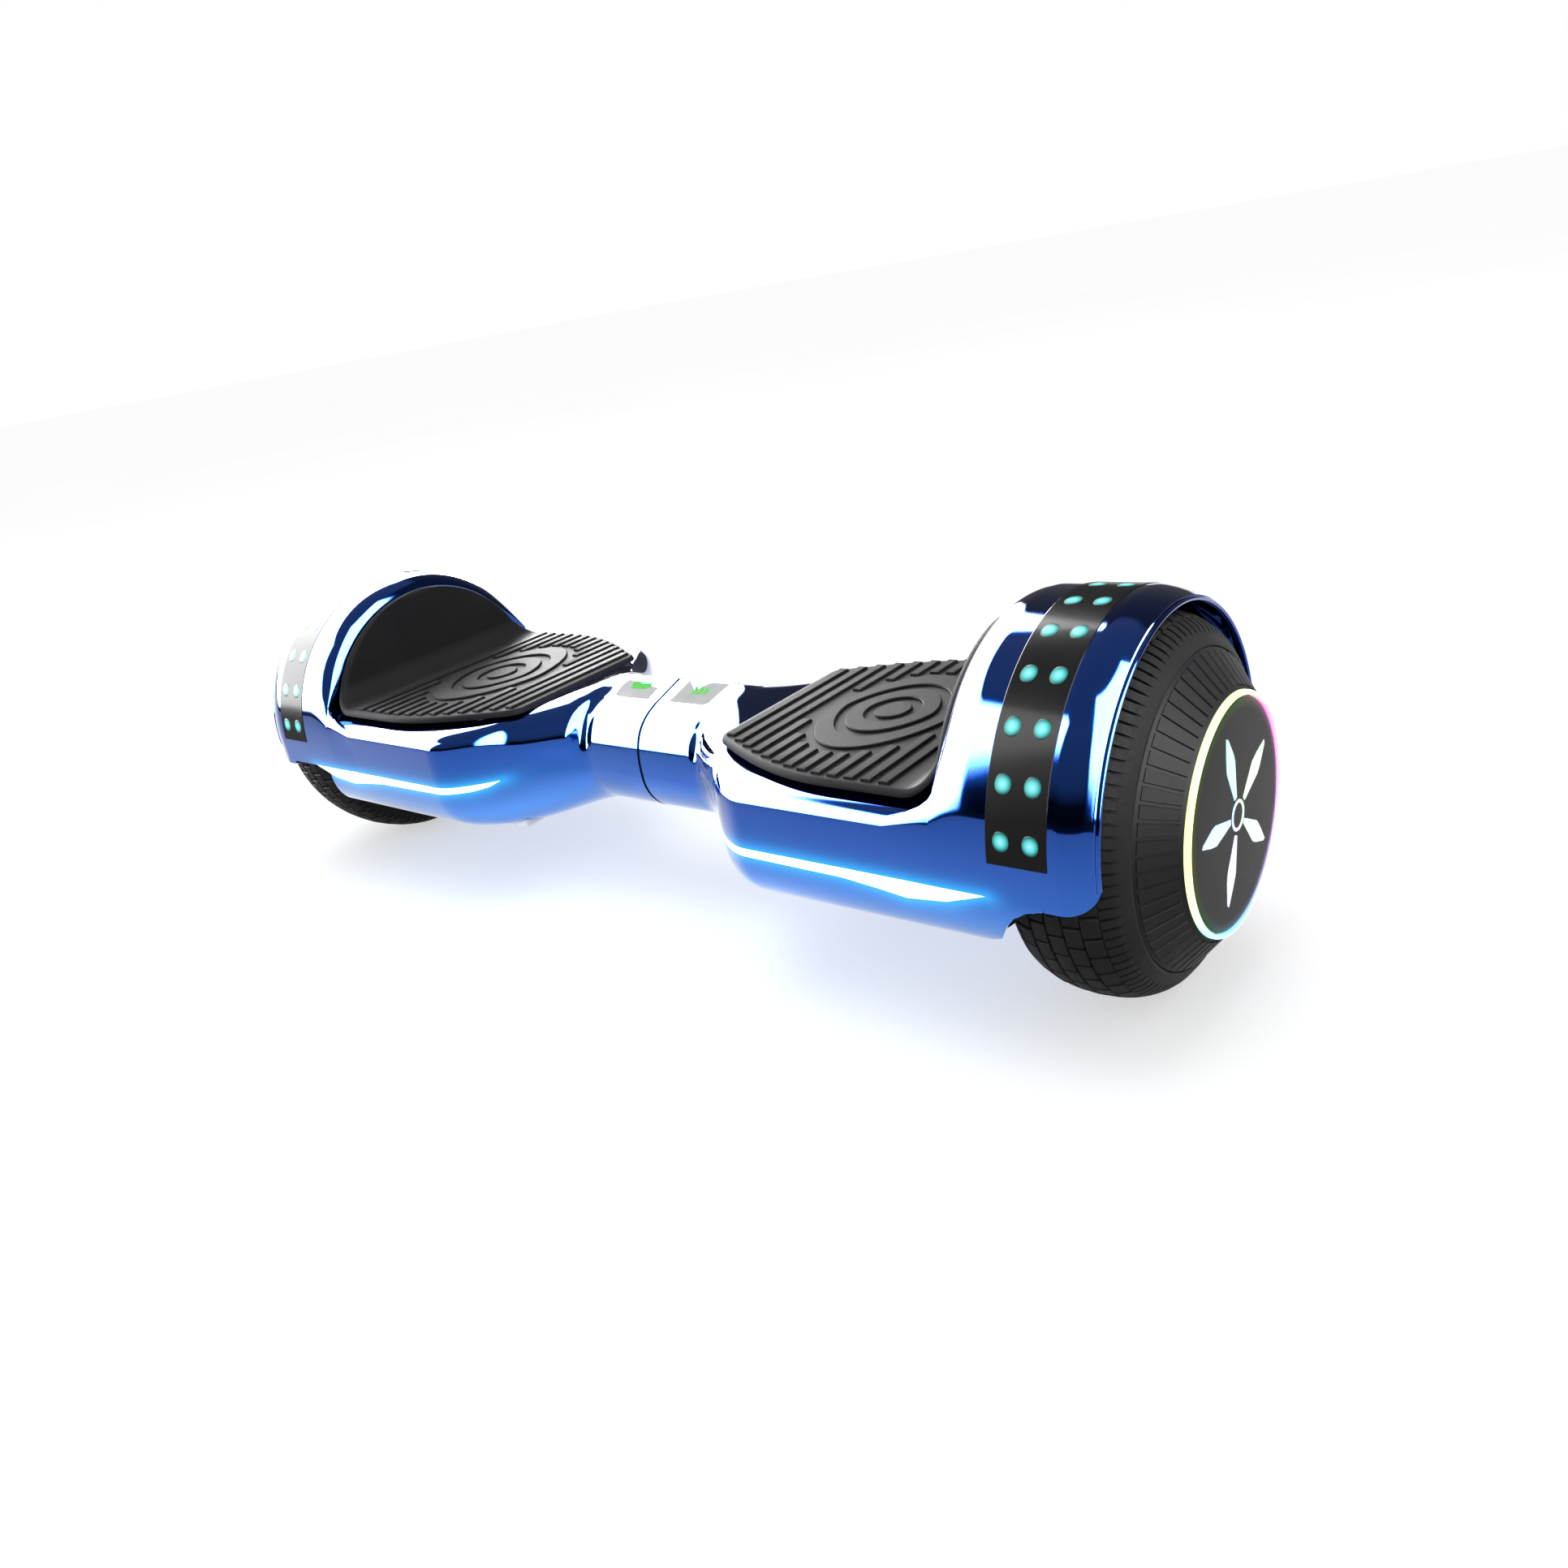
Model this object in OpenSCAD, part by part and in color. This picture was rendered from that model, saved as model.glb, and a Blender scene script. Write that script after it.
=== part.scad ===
// Two-wheeled self-balancing board: two mirrored halves that twist about a centre pivot.
// X runs along the wheel axles, -Y is the front with the headlights, Z is up.
// The origin is on the ground, midway between the wheels.

/* [Overall] */
// Tyre diameter over the crown of the tread, which sets the axle height
tyre_d = 172; // [168:1:174]
// Half of the length, from the centre to the face of a hub cap
half_length = 322; // [320:1:326]
// Depth of the deck, front to back
deck_depth = 180; // [178:1:182]
// Gap between the two halves at the centre joint
joint_gap = 2; // [1.6:0.2:3]

/* [Shells] */
// Wall thickness of the moulded shells
wall = 3; // [2.6:0.1:3.2]
// Radius of the round hub at the centre
hub_r = 36; // [35:0.5:37]
// Height of the deck under the foot pads
deck_z = 112.5; // [112:0.1:112.6]
// Height of the seam between the upper and lower shells
seam_z = 80.5; // [80:0.5:81]
// Height of the underside above the ground
belly_z = 40; // [39:0.5:40.5]
// Outer radius of the fender over the wheel
fender_r = 91; // [90.6:0.1:91.4]

/* [Foot pads] */
// Height of the top of the ribs
pad_top = 119.7; // [119.4:0.1:120]
// Thickness of the mat under its ribs
pad_t = 3.2; // [3:0.1:3.4]
// Number of ribs on a mat
rib_count = 15; // [9:1:16]
// Travel of a mat when it is stood on
pad_travel = 2; // [1.5:0.1:2]

/* [Wheels] */
// Width of the tyre
tyre_w = 54; // [52:1:54]
// Radius of the hub cap
cap_r = 50.6; // [50:0.1:50.8]
// Radius of the motor axle
axle_r = 8; // [7.5:0.5:8]

/* [Lights] */
// Rows of lights over each fender
led_rows = 12; // [8:2:12]
// Radius of one fender light
led_r = 3.2; // [2.5:0.1:3.4]

/* [Hidden] */

fine = 96;
eps = 0.01;
axle_z = tyre_d / 2;
half_depth = deck_depth / 2;
start_x = joint_gap / 2;

// Plan of a half: the hub is narrow, then a smooth flare opens out to the full depth
flare_start = 40;
flare_end = 122;
flare_steps = 10;
apron_end = 277;
// The fender is a little taller than it is deep, so its centre is above the axle
fender_z = axle_z + 5.5;
fender_in = 227;
fender_out = 300.5;
lip_r = 84.6;
well_in = 238;
well_r = 88;
axle_hole_r = 11;

// Wheel stations along X
tyre_in = 251;
rim_r = 62;
rim_wall = 8;
rim_in = 250;
rim_out = 296;
cover_x = 300;
plate_t = 4;
boss_r = 22;
bearing_r = 16;
bearing_w = 8;
inner_bearing_x = 246;
outer_bearing_x = 290;
stator_r = 52;
stator_in = 259;
stator_w = 28;
axle_in = 168;
axle_len = 131;
rib_zone_r = 70;
cap_t = 3;
light_ring_r = 53;

// Frame and pivot
pivot_r = 12;
pivot_bore_r = 8;
pivot_len = 150;
bush_r = 15;
run_gap = 0.05;
boss_x = 20;
boss_len = 50;
retainer_r = 18;
tub_x = 90;
tub_end = 214;
tub_y = 56;
tub_top = 72;
tub_wall = 4;
tub_floor = 6;
saddle_x = 176;
saddle_y = 17;
saddle_len = 34;

// Foot pad
pad_in = 79;
pad_out = 222.5;
pad_inner_half = 46;
pad_half = 81.5;
pad_flap_r = 81.3;
flap_t = 3.5;
rib_h = 1.5;
rib_w = 4.6;
plunger_r = 4;
plunger_x = [115, 190];
plunger_y = 50;

// Fasteners
screw_x = [128, 206];
screw_y = 70;
screw_r = 2;
screw_head_r = 3.8;
screw_post_r = 5.5;

// Strip over the fender
strip_in = 254;
strip_out = 281;
strip_t = 1.5;
strip_end_angle = 3;
led_first = 9.4;
led_x = [261, 274];

// Half depth of the plan at a distance x from the centre
function blend(t) = t <= 0 ? 0 : t >= 1 ? 1 : t * t * (3 - 2 * t);
function plan_half(x) = hub_r + (half_depth - hub_r) * blend((x - flare_start) / (flare_end - flare_start));
function flare_x(i) = flare_start + (flare_end - flare_start) * i / flare_steps;
function arc(cx, cy, r, a0, a1, steps) =
    [for (i = [0:steps]) [cx + r * cos(a0 + (a1 - a0) * i / steps), cy + r * sin(a0 + (a1 - a0) * i / steps)]];

// A half's outline seen from above, drawn in by inset, from x0 to x1
module plan(x0, x1, inset) {
    side = [for (i = [0:flare_steps]) if (flare_x(i) > x0) [flare_x(i), plan_half(flare_x(i)) - inset]];
    near = concat([[x0, plan_half(x0) - inset]], side, [[x1, half_depth - inset]]);
    far = [for (i = [len(near) - 1:-1:0]) [near[i][0], -near[i][1]]];
    polygon(concat(near, far));
}

// An outline in Y and Z, drawn out along X
module along_x(x0, x1) {
    translate([x0, 0, 0]) rotate([90, 0, 90]) linear_extrude(x1 - x0) children();
}

// An outline in X and Z, drawn out along Y
module along_y(y0, y1) {
    translate([0, y1, 0]) rotate([90, 0, 0]) linear_extrude(y1 - y0) children();
}

// A rod along X
module rod(x0, len, r, z = axle_z) {
    translate([x0, 0, z]) rotate([0, 90, 0]) cylinder(h = len, r = r, $fn = fine);
}

// A ring along X
module ring(x0, len, r_out, r_in, z = axle_z) {
    difference() {
        rod(x0, len, r_out, z);
        rod(x0 - 1, len + 2, r_in, z);
    }
}

// A profile of [radius, x] points turned about the X direction at a height
module turned(z = axle_z) {
    translate([0, 0, z]) rotate([0, 90, 0]) rotate_extrude($fn = fine) children();
}

module block(x0, x1, y_half, z0, z1) {
    translate([x0, -y_half, z0]) cube([x1 - x0, 2 * y_half, z1 - z0]);
}

module mirrored_y() {
    children();
    mirror([0, 1, 0]) children();
}

module left() {
    mirror([1, 0, 0]) children();
}

// ---- Upper shell ----

deck_corner = 17;

module deck_section(inset) {
    y = half_depth - inset;
    z = deck_z - inset;
    r = deck_corner - inset / 2;
    polygon(concat(
        [[-y, seam_z - inset], [y, seam_z - inset]],
        arc(y - r, z - r, r, 0, 90, 6),
        arc(-y + r, z - r, r, 90, 180, 6)));
}

module deck_solid(x0, x1, inset) {
    intersection() {
        along_x(x0, x1) deck_section(inset);
        translate([0, 0, seam_z - wall]) linear_extrude(deck_z) plan(x0, x1, inset);
    }
}

hub_roof_half = 15;
hub_roof_z = 122.5;
hub_roof_end = 62;

module upper_hub(inset) {
    rod(start_x - (inset > 0 ? 1 : 0), hub_roof_end - 8, hub_r - inset);
    along_y(-hub_roof_half + inset, hub_roof_half - inset)
        polygon([[start_x - (inset > 0 ? 1 : 0), axle_z], [start_x - (inset > 0 ? 1 : 0), hub_roof_z - inset],
            [hub_roof_end - 14, hub_roof_z - inset], [hub_roof_end + 12, deck_z - inset],
            [hub_roof_end + 12, axle_z]]);
}

module fender_profile() {
    polygon([[0, fender_in], [81.5, fender_in], [85.5, 230], [88.5, 234], [fender_r, 242],
        [fender_r, 281], [89.8, 288], [87.2, 295], [lip_r, fender_out], [lip_r - 2.4, fender_out],
        [84.6, 293.5], [86.9, 286], [fender_r - wall, 279], [fender_r - wall, 244], [85.8, 237],
        [82.4, fender_in + wall], [0, fender_in + wall]]);
}

module window_outline(grow) {
    r = 6;
    x0 = 8.5 - grow;
    x1 = 37 + grow;
    y0 = -11.5 - grow;
    y1 = 9 + grow;
    polygon(concat([[x0, y0]], arc(x1 - r, y0 + r, r, -90, 0, 6), [[x1 + 3, y1], [x0, y1]]));
}

window_t = 2;

module window_solid(grow) {
    translate([0, 0, hub_roof_z - window_t]) linear_extrude(window_t + 0.2 + grow) window_outline(grow);
}

module screw_places() {
    for (x = screw_x)
        mirrored_y() translate([x, screw_y, 0]) children();
}

module plunger_places() {
    for (x = plunger_x)
        mirrored_y() translate([x, plunger_y, 0]) children();
}

module strip_band(grow) {
    translate([0, 0, fender_z]) rotate([0, 90, 0]) rotate([0, 0, 90 + strip_end_angle - grow])
        rotate_extrude(angle = 180 - 2 * strip_end_angle + 2 * grow, $fn = fine)
            polygon([[fender_r - strip_t, strip_in - grow / 5], [fender_r + grow, strip_in - grow / 5],
                [fender_r + grow, strip_out + grow / 5], [fender_r - strip_t, strip_out + grow / 5]]);
}

module top_shell() color("royalblue") {
    difference() {
        union() {
            deck_solid(flare_start, fender_in + 1, 0);
            upper_hub(0);
            turned(fender_z) fender_profile();
        }
        difference() {
            union() {
                deck_solid(flare_start - 1, fender_in - wall, wall);
                upper_hub(wall);
            }
            screw_places() translate([0, 0, seam_z]) cylinder(h = 40, r = screw_post_r, $fn = fine);
        }
        translate([-10, -150, -10]) cube([400, 300, seam_z + 10]);
        rod(200, 60, axle_hole_r);
        window_solid(0.1);
        strip_band(0.5);
        screw_places() translate([0, 0, seam_z - 1]) cylinder(h = 14, r = screw_r, $fn = fine);
        plunger_places() translate([0, 0, seam_z]) cylinder(h = 50, r = plunger_r + 0.6, $fn = fine);
    }
}

// ---- Lower shell ----

belly_half = 60;
chin_half = half_depth - 2;
chin_z = 59;

module belly_section(inset) {
    polygon([[-half_depth + inset, seam_z + inset], [-chin_half + inset, chin_z],
        [-belly_half + inset / 2, belly_z + inset], [belly_half - inset / 2, belly_z + inset],
        [chin_half - inset, chin_z], [half_depth - inset, seam_z + inset]]);
}

module belly_solid(x0, x1, inset) {
    intersection() {
        along_x(x0, x1) belly_section(inset);
        linear_extrude(seam_z + wall) plan(x0, x1, inset);
        along_y(-100, 100) polygon([[x0, 96], [x0, axle_z - hub_r + inset], [50, axle_z - hub_r + inset],
            [84, belly_z + inset], [x1, belly_z + inset], [x1, 96]]);
    }
}

lens_top = seam_z - 0.2;

module lens_outline() {
    polygon([[87, lens_top], [251, lens_top], [232, 74.4], [210, 71.6], [190, 75.2], [130, 76], [100, 76.2],
        [92, 77.4]]);
}

module lens_solid() {
    intersection() {
        difference() {
            belly_solid(flare_start, apron_end, 0);
            belly_solid(flare_start - 1, apron_end + 1, 4.5);
        }
        along_y(-100, -30) lens_outline();
    }
}

charge_x = -146;
button_x = -166;
rear_z = 70;

module rear_hole(x, r) {
    translate([x, half_depth + 5, rear_z]) rotate([90, 0, 0]) cylinder(h = 20, r = r, $fn = fine);
}

speaker_x = 150;
speaker_r = 20;

module bottom_shell() color("steelblue") {
    difference() {
        union() {
            belly_solid(flare_start, apron_end, 0);
            rod(start_x, 50, hub_r);
        }
        difference() {
            union() {
                belly_solid(flare_start - 1, fender_in, wall);
                rod(start_x - 1, 49, hub_r - wall);
            }
            screw_places() translate([0, 0, belly_z]) cylinder(h = seam_z - belly_z, r = screw_post_r, $fn = fine);
        }
        translate([-10, -150, seam_z]) cube([400, 300, 100]);
        rod(well_in, 80, well_r);
        rod(200, 60, axle_hole_r);
        translate([255, -150, 0]) cube([40, 300, 67]);
        screw_places() {
            cylinder(h = seam_z + 1, r = screw_r, $fn = fine);
            translate([0, 0, belly_z - 1]) cylinder(h = 14, r = screw_head_r + 0.5, $fn = fine);
        }
        lens_solid();
    }
}

module speaker_holes() {
    for (ring_r = [0, 6, 12], a = [0:60:300])
        translate([speaker_x + ring_r * cos(a), ring_r * sin(a), belly_z - 1])
            cylinder(h = 6, r = 1.5, $fn = fine);
}

module right_bottom_shell() color("steelblue") {
    difference() {
        bottom_shell();
        speaker_holes();
    }
}

module left_bottom_shell() color("steelblue") {
    difference() {
        left() bottom_shell();
        rear_hole(charge_x, 8);
        rear_hole(button_x, 7.4);
    }
}

// ---- Lights ----

module led_places() {
    last = 180 - led_first;
    for (x = led_x, i = [0:led_rows - 1])
        translate([x, 0, fender_z]) rotate([90 - led_first - (last - led_first) * i / (led_rows - 1), 0, 0])
            translate([0, 0, fender_r - strip_t]) children();
}

module fender_strip() color("dimgray") {
    difference() {
        strip_band(0);
        led_places() translate([0, 0, -1]) cylinder(h = 4, r = led_r + 0.05, $fn = fine);
    }
}

module strip_leds() color("turquoise") {
    led_places() cylinder(h = strip_t, r = led_r, $fn = fine);
}

module headlight_lens() color("lightcyan") {
    lens_solid();
}

module headlight_board() color("seagreen") {
    translate([132, -half_depth + 5.5, 72]) cube([86, 1.6, 8]);
}

module indicator_window() color("lightgray") {
    window_solid(0);
}

// ---- Foot pads ----

function pad_edge(x) = pad_inner_half + (pad_half - pad_inner_half) * sin(90 * min(1, (x - pad_in) / 90));

pad_bottom = pad_top - rib_h - pad_t;
pad_floor = pad_top - rib_h;

module pad_plan() {
    steps = 9;
    outer_corner = 12;
    near = [for (i = [0:steps]) [pad_in + 90 * i / steps, pad_edge(pad_in + 90 * i / steps)]];
    corner = arc(pad_out - outer_corner, pad_half - outer_corner, outer_corner, 90, 20, 5);
    half = concat(near, corner, [[pad_out, 60]]);
    far = [for (i = [len(half) - 1:-1:0]) [half[i][0], -half[i][1]]];
    polygon(concat(half, far));
}

module foot_pad() color([0.13, 0.13, 0.13]) {
    rib_start = pad_in + 7;
    rib_pitch = (pad_out - 14 - rib_start) / rib_count;
    translate([0, 0, pad_bottom]) linear_extrude(pad_t) pad_plan();
    for (i = [0:rib_count - 1])
        let (x = rib_start + rib_pitch * i, y = pad_edge(x) - 7)
            translate([x, -y, pad_floor]) cube([rib_w, 2 * y, rib_h]);
    intersection() {
        rod(pad_out, flap_t, pad_flap_r, fender_z);
        translate([pad_out, -100, pad_bottom]) cube([flap_t, 200, 100]);
    }
    sweep_r = 11;
    along_y(-62, 62) polygon(concat([[pad_out, pad_floor]],
        arc(pad_out - sweep_r, pad_floor + sweep_r, sweep_r, 0, -90, 6)));
}

module pad_plungers() color("gray") {
    plunger_places() translate([0, 0, pad_bottom - 17]) cylinder(h = 17, r = plunger_r, $fn = fine);
}

module sensor_board() color("seagreen") {
    difference() {
        block(104, 200, 62, 90, 91.6);
        block(162, 201, 21, 89, 93);
    }
    plunger_places() translate([-5, -4, 91.6]) cube([10, 8, 2]);
}

// ---- Frame, axle and pivot ----

module frame(bore_r) {
    difference() {
        union() {
            rod(boss_x, boss_len, bush_r + 5);
            block(60, tub_x + 4, 18, 60, 82);
            difference() {
                block(tub_x, tub_end, tub_y, belly_z + wall + 0.5, tub_top);
                block(tub_x + tub_wall, tub_end - tub_wall, tub_y - tub_wall, belly_z + wall + tub_floor, 96);
            }
            block(tub_x, tub_x + tub_wall, 18, 60, 82);
            block(saddle_x, tub_end, saddle_y, belly_z + wall + 1, axle_z);
        }
        rod(boss_x - 1, boss_len + 30, bore_r);
        rod(boss_x + boss_len, 6, retainer_r + 0.8);
        rod(axle_in - 1, 60, axle_r);
    }
}

module left_frame() color("silver") {
    left() frame(pivot_r);
}

module right_frame() color("silver") {
    frame(bush_r);
}

module axle() color("gainsboro") {
    difference() {
        rod(axle_in, axle_len, axle_r);
        rod(axle_in - 1, 30, 3.6);
    }
}

module axle_clamp() color("darkgray") {
    difference() {
        block(saddle_x, saddle_x + saddle_len, saddle_y, axle_z, axle_z + 3.6);
        rod(axle_in, 60, axle_r);
    }
    difference() {
        intersection() {
            rod(saddle_x + 4, saddle_len - 8, axle_r + 3);
            block(saddle_x, tub_end, saddle_y, axle_z + 3.6, axle_z + 20);
        }
        rod(axle_in, 60, axle_r);
    }
}

module pivot_shaft() color("gainsboro") {
    difference() {
        union() {
            rod(-pivot_len / 2, pivot_len, pivot_r);
            rod(-8, 4, 24);
        }
        rod(-pivot_len, 2 * pivot_len, pivot_bore_r);
    }
}

module pivot_bushes() color("wheat") {
    for (x = [boss_x, boss_x + boss_len - 12])
        ring(x, 12, bush_r, pivot_r + run_gap);
}

module pivot_retainer() color("dimgray") {
    ring(boss_x + boss_len + 0.5, 4, retainer_r, pivot_r);
}

module joint_seal() color([0.1, 0.1, 0.1]) {
    ring(-8, 12, hub_r - wall - 0.4, 24);
}

// ---- Wheel ----

module tyre() color([0.1, 0.1, 0.1]) {
    out = tyre_in + tyre_w;
    r = tyre_d / 2;
    turned() polygon([[rim_r, tyre_in], [r - 13, tyre_in], [r - 8.5, tyre_in + 2], [r - 4.8, tyre_in + 6],
        [r - 1.9, tyre_in + 12.5], [r - 0.6, tyre_in + 17], [r, tyre_in + 20], [r, tyre_in + 32],
        [r - 0.9, tyre_in + 38], [r - 3, tyre_in + 43.5], [r - 5.6, tyre_in + 48], [r - 9, tyre_in + 52],
        [r - 13, out], [rib_zone_r + 0.3, out + 1], [rib_zone_r + 0.3, cover_x], [rim_r, cover_x]]);
}

module motor_rim() color("silver") {
    turned() polygon([[rim_r, rim_in], [rim_r, rim_out], [rim_r - rim_wall, rim_out],
        [rim_r - rim_wall, rim_in + plate_t], [boss_r, rim_in + plate_t], [boss_r, inner_bearing_x + bearing_w],
        [bearing_r, inner_bearing_x + bearing_w], [bearing_r, inner_bearing_x], [boss_r, inner_bearing_x],
        [boss_r, rim_in]]);
}

module motor_cover() color("silver") {
    turned() polygon([[rim_r - 0.2, rim_out], [rim_r - 0.2, cover_x], [bearing_r - 3, cover_x],
        [bearing_r - 3, outer_bearing_x + bearing_w], [bearing_r, outer_bearing_x + bearing_w],
        [bearing_r, outer_bearing_x], [boss_r, outer_bearing_x], [boss_r, rim_out]]);
}

module wheel_bearings() color("gainsboro") {
    ring(inner_bearing_x, bearing_w, bearing_r, axle_r + run_gap);
    ring(outer_bearing_x, bearing_w, bearing_r, axle_r + run_gap);
}

module stator() color("peru") {
    ring(stator_in, stator_w, stator_r - 10, axle_r);
    for (a = [0:20:340])
        translate([stator_in + 3, 0, axle_z]) rotate([a, 0, 0])
            translate([0, -2.5, stator_r - 11]) cube([stator_w - 6, 5, 9]);
}

cap_face = half_length;
crest_x = cap_face - 2;

module wheel_cover() color([0.14, 0.14, 0.14]) {
    turned() polygon([[30, cover_x + 0.2], [rib_zone_r, cover_x + 0.2], [rib_zone_r, tyre_in + tyre_w + 1.5],
        [light_ring_r, crest_x], [cap_r + 0.2, crest_x], [cap_r + 0.2, crest_x - 3],
        [rib_zone_r - 3.5, cover_x + 4.6], [rib_zone_r - 3.5, cover_x + 3.2], [30, cover_x + 3.2]]);
}

module hub_cap() color([0.08, 0.08, 0.08]) {
    turned() polygon([[0, cap_face - cap_t], [0, cap_face], [cap_r, cap_face], [cap_r, cover_x + 3.2],
        [cap_r - 2, cover_x + 3.2], [cap_r - 2, cap_face - cap_t]]);
}

module hub_light_ring() color("violet") {
    ring(crest_x, 2.4, light_ring_r, cap_r + 0.2);
}

emblem_t = 0.6;
emblem_spokes = 5;

// Five tapered glowing spokes around a small ring
module hub_emblem() color("aquamarine") {
    ring(cap_face, emblem_t, 8, 5.5);
    for (i = [0:emblem_spokes - 1])
        translate([cap_face, 0, axle_z]) rotate([i * 360 / emblem_spokes, 0, 0]) rotate([90, 0, 90])
            linear_extrude(emblem_t) polygon([[-1.4, 9], [1.4, 9], [4.6, 26], [0, 37], [-4.6, 26]]);
}

// ---- Small parts ----

module shell_screws() color("dimgray") {
    screw_places() {
        translate([0, 0, belly_z + 13 - 2.4]) cylinder(h = 2.4, r = screw_head_r, $fn = fine);
        translate([0, 0, belly_z + 13 - eps]) cylinder(h = 40, r = screw_r, $fn = fine);
    }
}

cable_r = 3;
cable_in = 152;

module motor_cable() color([0.15, 0.15, 0.15]) {
    rod(cable_in, axle_in + 8 - cable_in, cable_r);
    translate([cable_in, 0, axle_z]) sphere(r = cable_r, $fn = 32);
    translate([cable_in, 0, 65.6]) cylinder(h = axle_z - 65.6, r = cable_r, $fn = 32);
}

module main_board() color("seagreen") {
    block(104, 168, 46, 58, 59.6);
    block(144, 160, 10, 59.6, 65.6);
    block(112, 136, 40, 59.6, 70);
    mirrored_y() translate([110, 36, belly_z + wall + tub_floor]) cylinder(h = 58 - belly_z - wall - tub_floor,
        r = 3, $fn = fine);
    mirrored_y() translate([162, 36, belly_z + wall + tub_floor]) cylinder(h = 58 - belly_z - wall - tub_floor,
        r = 3, $fn = fine);
}

battery_x = -170;
battery_len = 72;
battery_top = 65.6;

module battery_pack() color("navy") {
    difference() {
        block(battery_x, battery_x + battery_len, 50, belly_z + wall + tub_floor, battery_top);
        along_y(-60, 60) polygon([[battery_x + 30, battery_top - 1], [battery_x + 50, battery_top - 1],
            [battery_x + 50, battery_top + 1], [battery_x + 30, battery_top + 1]]);
    }
}

module battery_strap() color([0.2, 0.2, 0.2]) {
    block(battery_x + 30.2, battery_x + 49.8, 52, battery_top - 1, battery_top);
}

module rear_pin(x, y0, y1, r) {
    translate([x, y1, rear_z]) rotate([90, 0, 0]) cylinder(h = y1 - y0, r = r, $fn = fine);
}

socket_r = 5.5;

// A round socket that is narrower at its foot, where three short pins stand
module charge_port() color([0.2, 0.2, 0.2]) {
    difference() {
        union() {
            rear_pin(charge_x, half_depth - 16, half_depth - 1.4, 8);
            rear_pin(charge_x, half_depth - 8.4, half_depth - 6, 9.5);
        }
        rear_pin(charge_x, half_depth - 8, half_depth + 1, socket_r);
        rear_pin(charge_x, half_depth - 14, half_depth, socket_r - 0.8);
    }
    for (a = [90:120:330])
        translate([2.6 * cos(a), 0, 2.6 * sin(a)]) rear_pin(charge_x, half_depth - 14.5, half_depth - 9, 0.8);
}

button_r = 7;
button_travel = 1.2;

module power_button() color("silver") {
    rear_pin(button_x, half_depth - 4.4, half_depth + 0.6, button_r);
    rear_pin(button_x, half_depth - 8, half_depth - 4.4, 3);
}

module power_switch() color([0.15, 0.15, 0.15]) {
    difference() {
        rear_pin(button_x, half_depth - 18, half_depth - 4.5 - button_travel, 9);
        rear_pin(button_x, half_depth - 10 - button_travel, half_depth, 3.4);
    }
}

module speaker() color([0.25, 0.25, 0.25]) {
    translate([speaker_x, 0, belly_z + wall + tub_floor]) {
        cylinder(h = 3, r = speaker_r, $fn = fine);
        translate([0, 0, 3]) cylinder(h = 5, r = 12, $fn = fine);
    }
}

left() top_shell();  // left_top_shell
top_shell();  // right_top_shell
left_bottom_shell();
right_bottom_shell();
left() fender_strip();  // left_fender_strip
fender_strip();  // right_fender_strip
left() strip_leds();  // left_strip_leds
strip_leds();  // right_strip_leds
left() headlight_lens();  // left_headlight_lens
headlight_lens();  // right_headlight_lens
left() headlight_board();  // left_headlight_board
headlight_board();  // right_headlight_board
left() indicator_window();  // left_indicator_window
indicator_window();  // right_indicator_window
left() foot_pad();  // left_foot_pad
foot_pad();  // right_foot_pad
left() pad_plungers();  // left_pad_plungers
pad_plungers();  // right_pad_plungers
left() sensor_board();  // left_sensor_board
sensor_board();  // right_sensor_board
left_frame();
right_frame();
left() axle();  // left_axle
axle();  // right_axle
left() axle_clamp();  // left_axle_clamp
axle_clamp();  // right_axle_clamp
left() stator();  // left_stator
stator();  // right_stator
left() motor_rim();  // left_motor_rim
motor_rim();  // right_motor_rim
left() tyre();  // left_tyre
tyre();  // right_tyre
left() motor_cover();  // left_motor_cover
motor_cover();  // right_motor_cover
left() wheel_bearings();  // left_wheel_bearings
wheel_bearings();  // right_wheel_bearings
left() wheel_cover();  // left_wheel_cover
wheel_cover();  // right_wheel_cover
left() hub_cap();  // left_hub_cap
hub_cap();  // right_hub_cap
left() hub_light_ring();  // left_hub_light_ring
hub_light_ring();  // right_hub_light_ring
left() hub_emblem();  // left_hub_emblem
hub_emblem();  // right_hub_emblem
left() shell_screws();  // left_shell_screws
shell_screws();  // right_shell_screws
left() motor_cable();  // left_motor_cable
motor_cable();  // right_motor_cable
pivot_shaft();
pivot_bushes();
pivot_retainer();
joint_seal();
main_board();
battery_pack();
battery_strap();
charge_port();
power_button();
power_switch();
speaker();
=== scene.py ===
import math

import bmesh
import bpy
import numpy as np
from mathutils import Matrix, Vector


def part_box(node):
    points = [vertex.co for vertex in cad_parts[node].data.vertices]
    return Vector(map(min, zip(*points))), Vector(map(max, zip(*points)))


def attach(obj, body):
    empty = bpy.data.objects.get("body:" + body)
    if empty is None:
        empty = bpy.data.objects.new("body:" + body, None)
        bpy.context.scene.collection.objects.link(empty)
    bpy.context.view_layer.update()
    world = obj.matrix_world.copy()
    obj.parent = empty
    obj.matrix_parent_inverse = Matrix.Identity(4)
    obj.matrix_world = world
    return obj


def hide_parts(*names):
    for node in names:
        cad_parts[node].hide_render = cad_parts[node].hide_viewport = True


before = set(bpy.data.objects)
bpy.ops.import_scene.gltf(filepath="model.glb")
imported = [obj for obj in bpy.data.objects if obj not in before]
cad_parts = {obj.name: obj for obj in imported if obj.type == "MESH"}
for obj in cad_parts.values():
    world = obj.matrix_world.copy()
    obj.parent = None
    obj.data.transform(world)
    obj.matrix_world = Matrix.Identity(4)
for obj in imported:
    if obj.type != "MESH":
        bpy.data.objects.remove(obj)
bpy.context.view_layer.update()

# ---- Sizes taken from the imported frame, in metres ----

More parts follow.
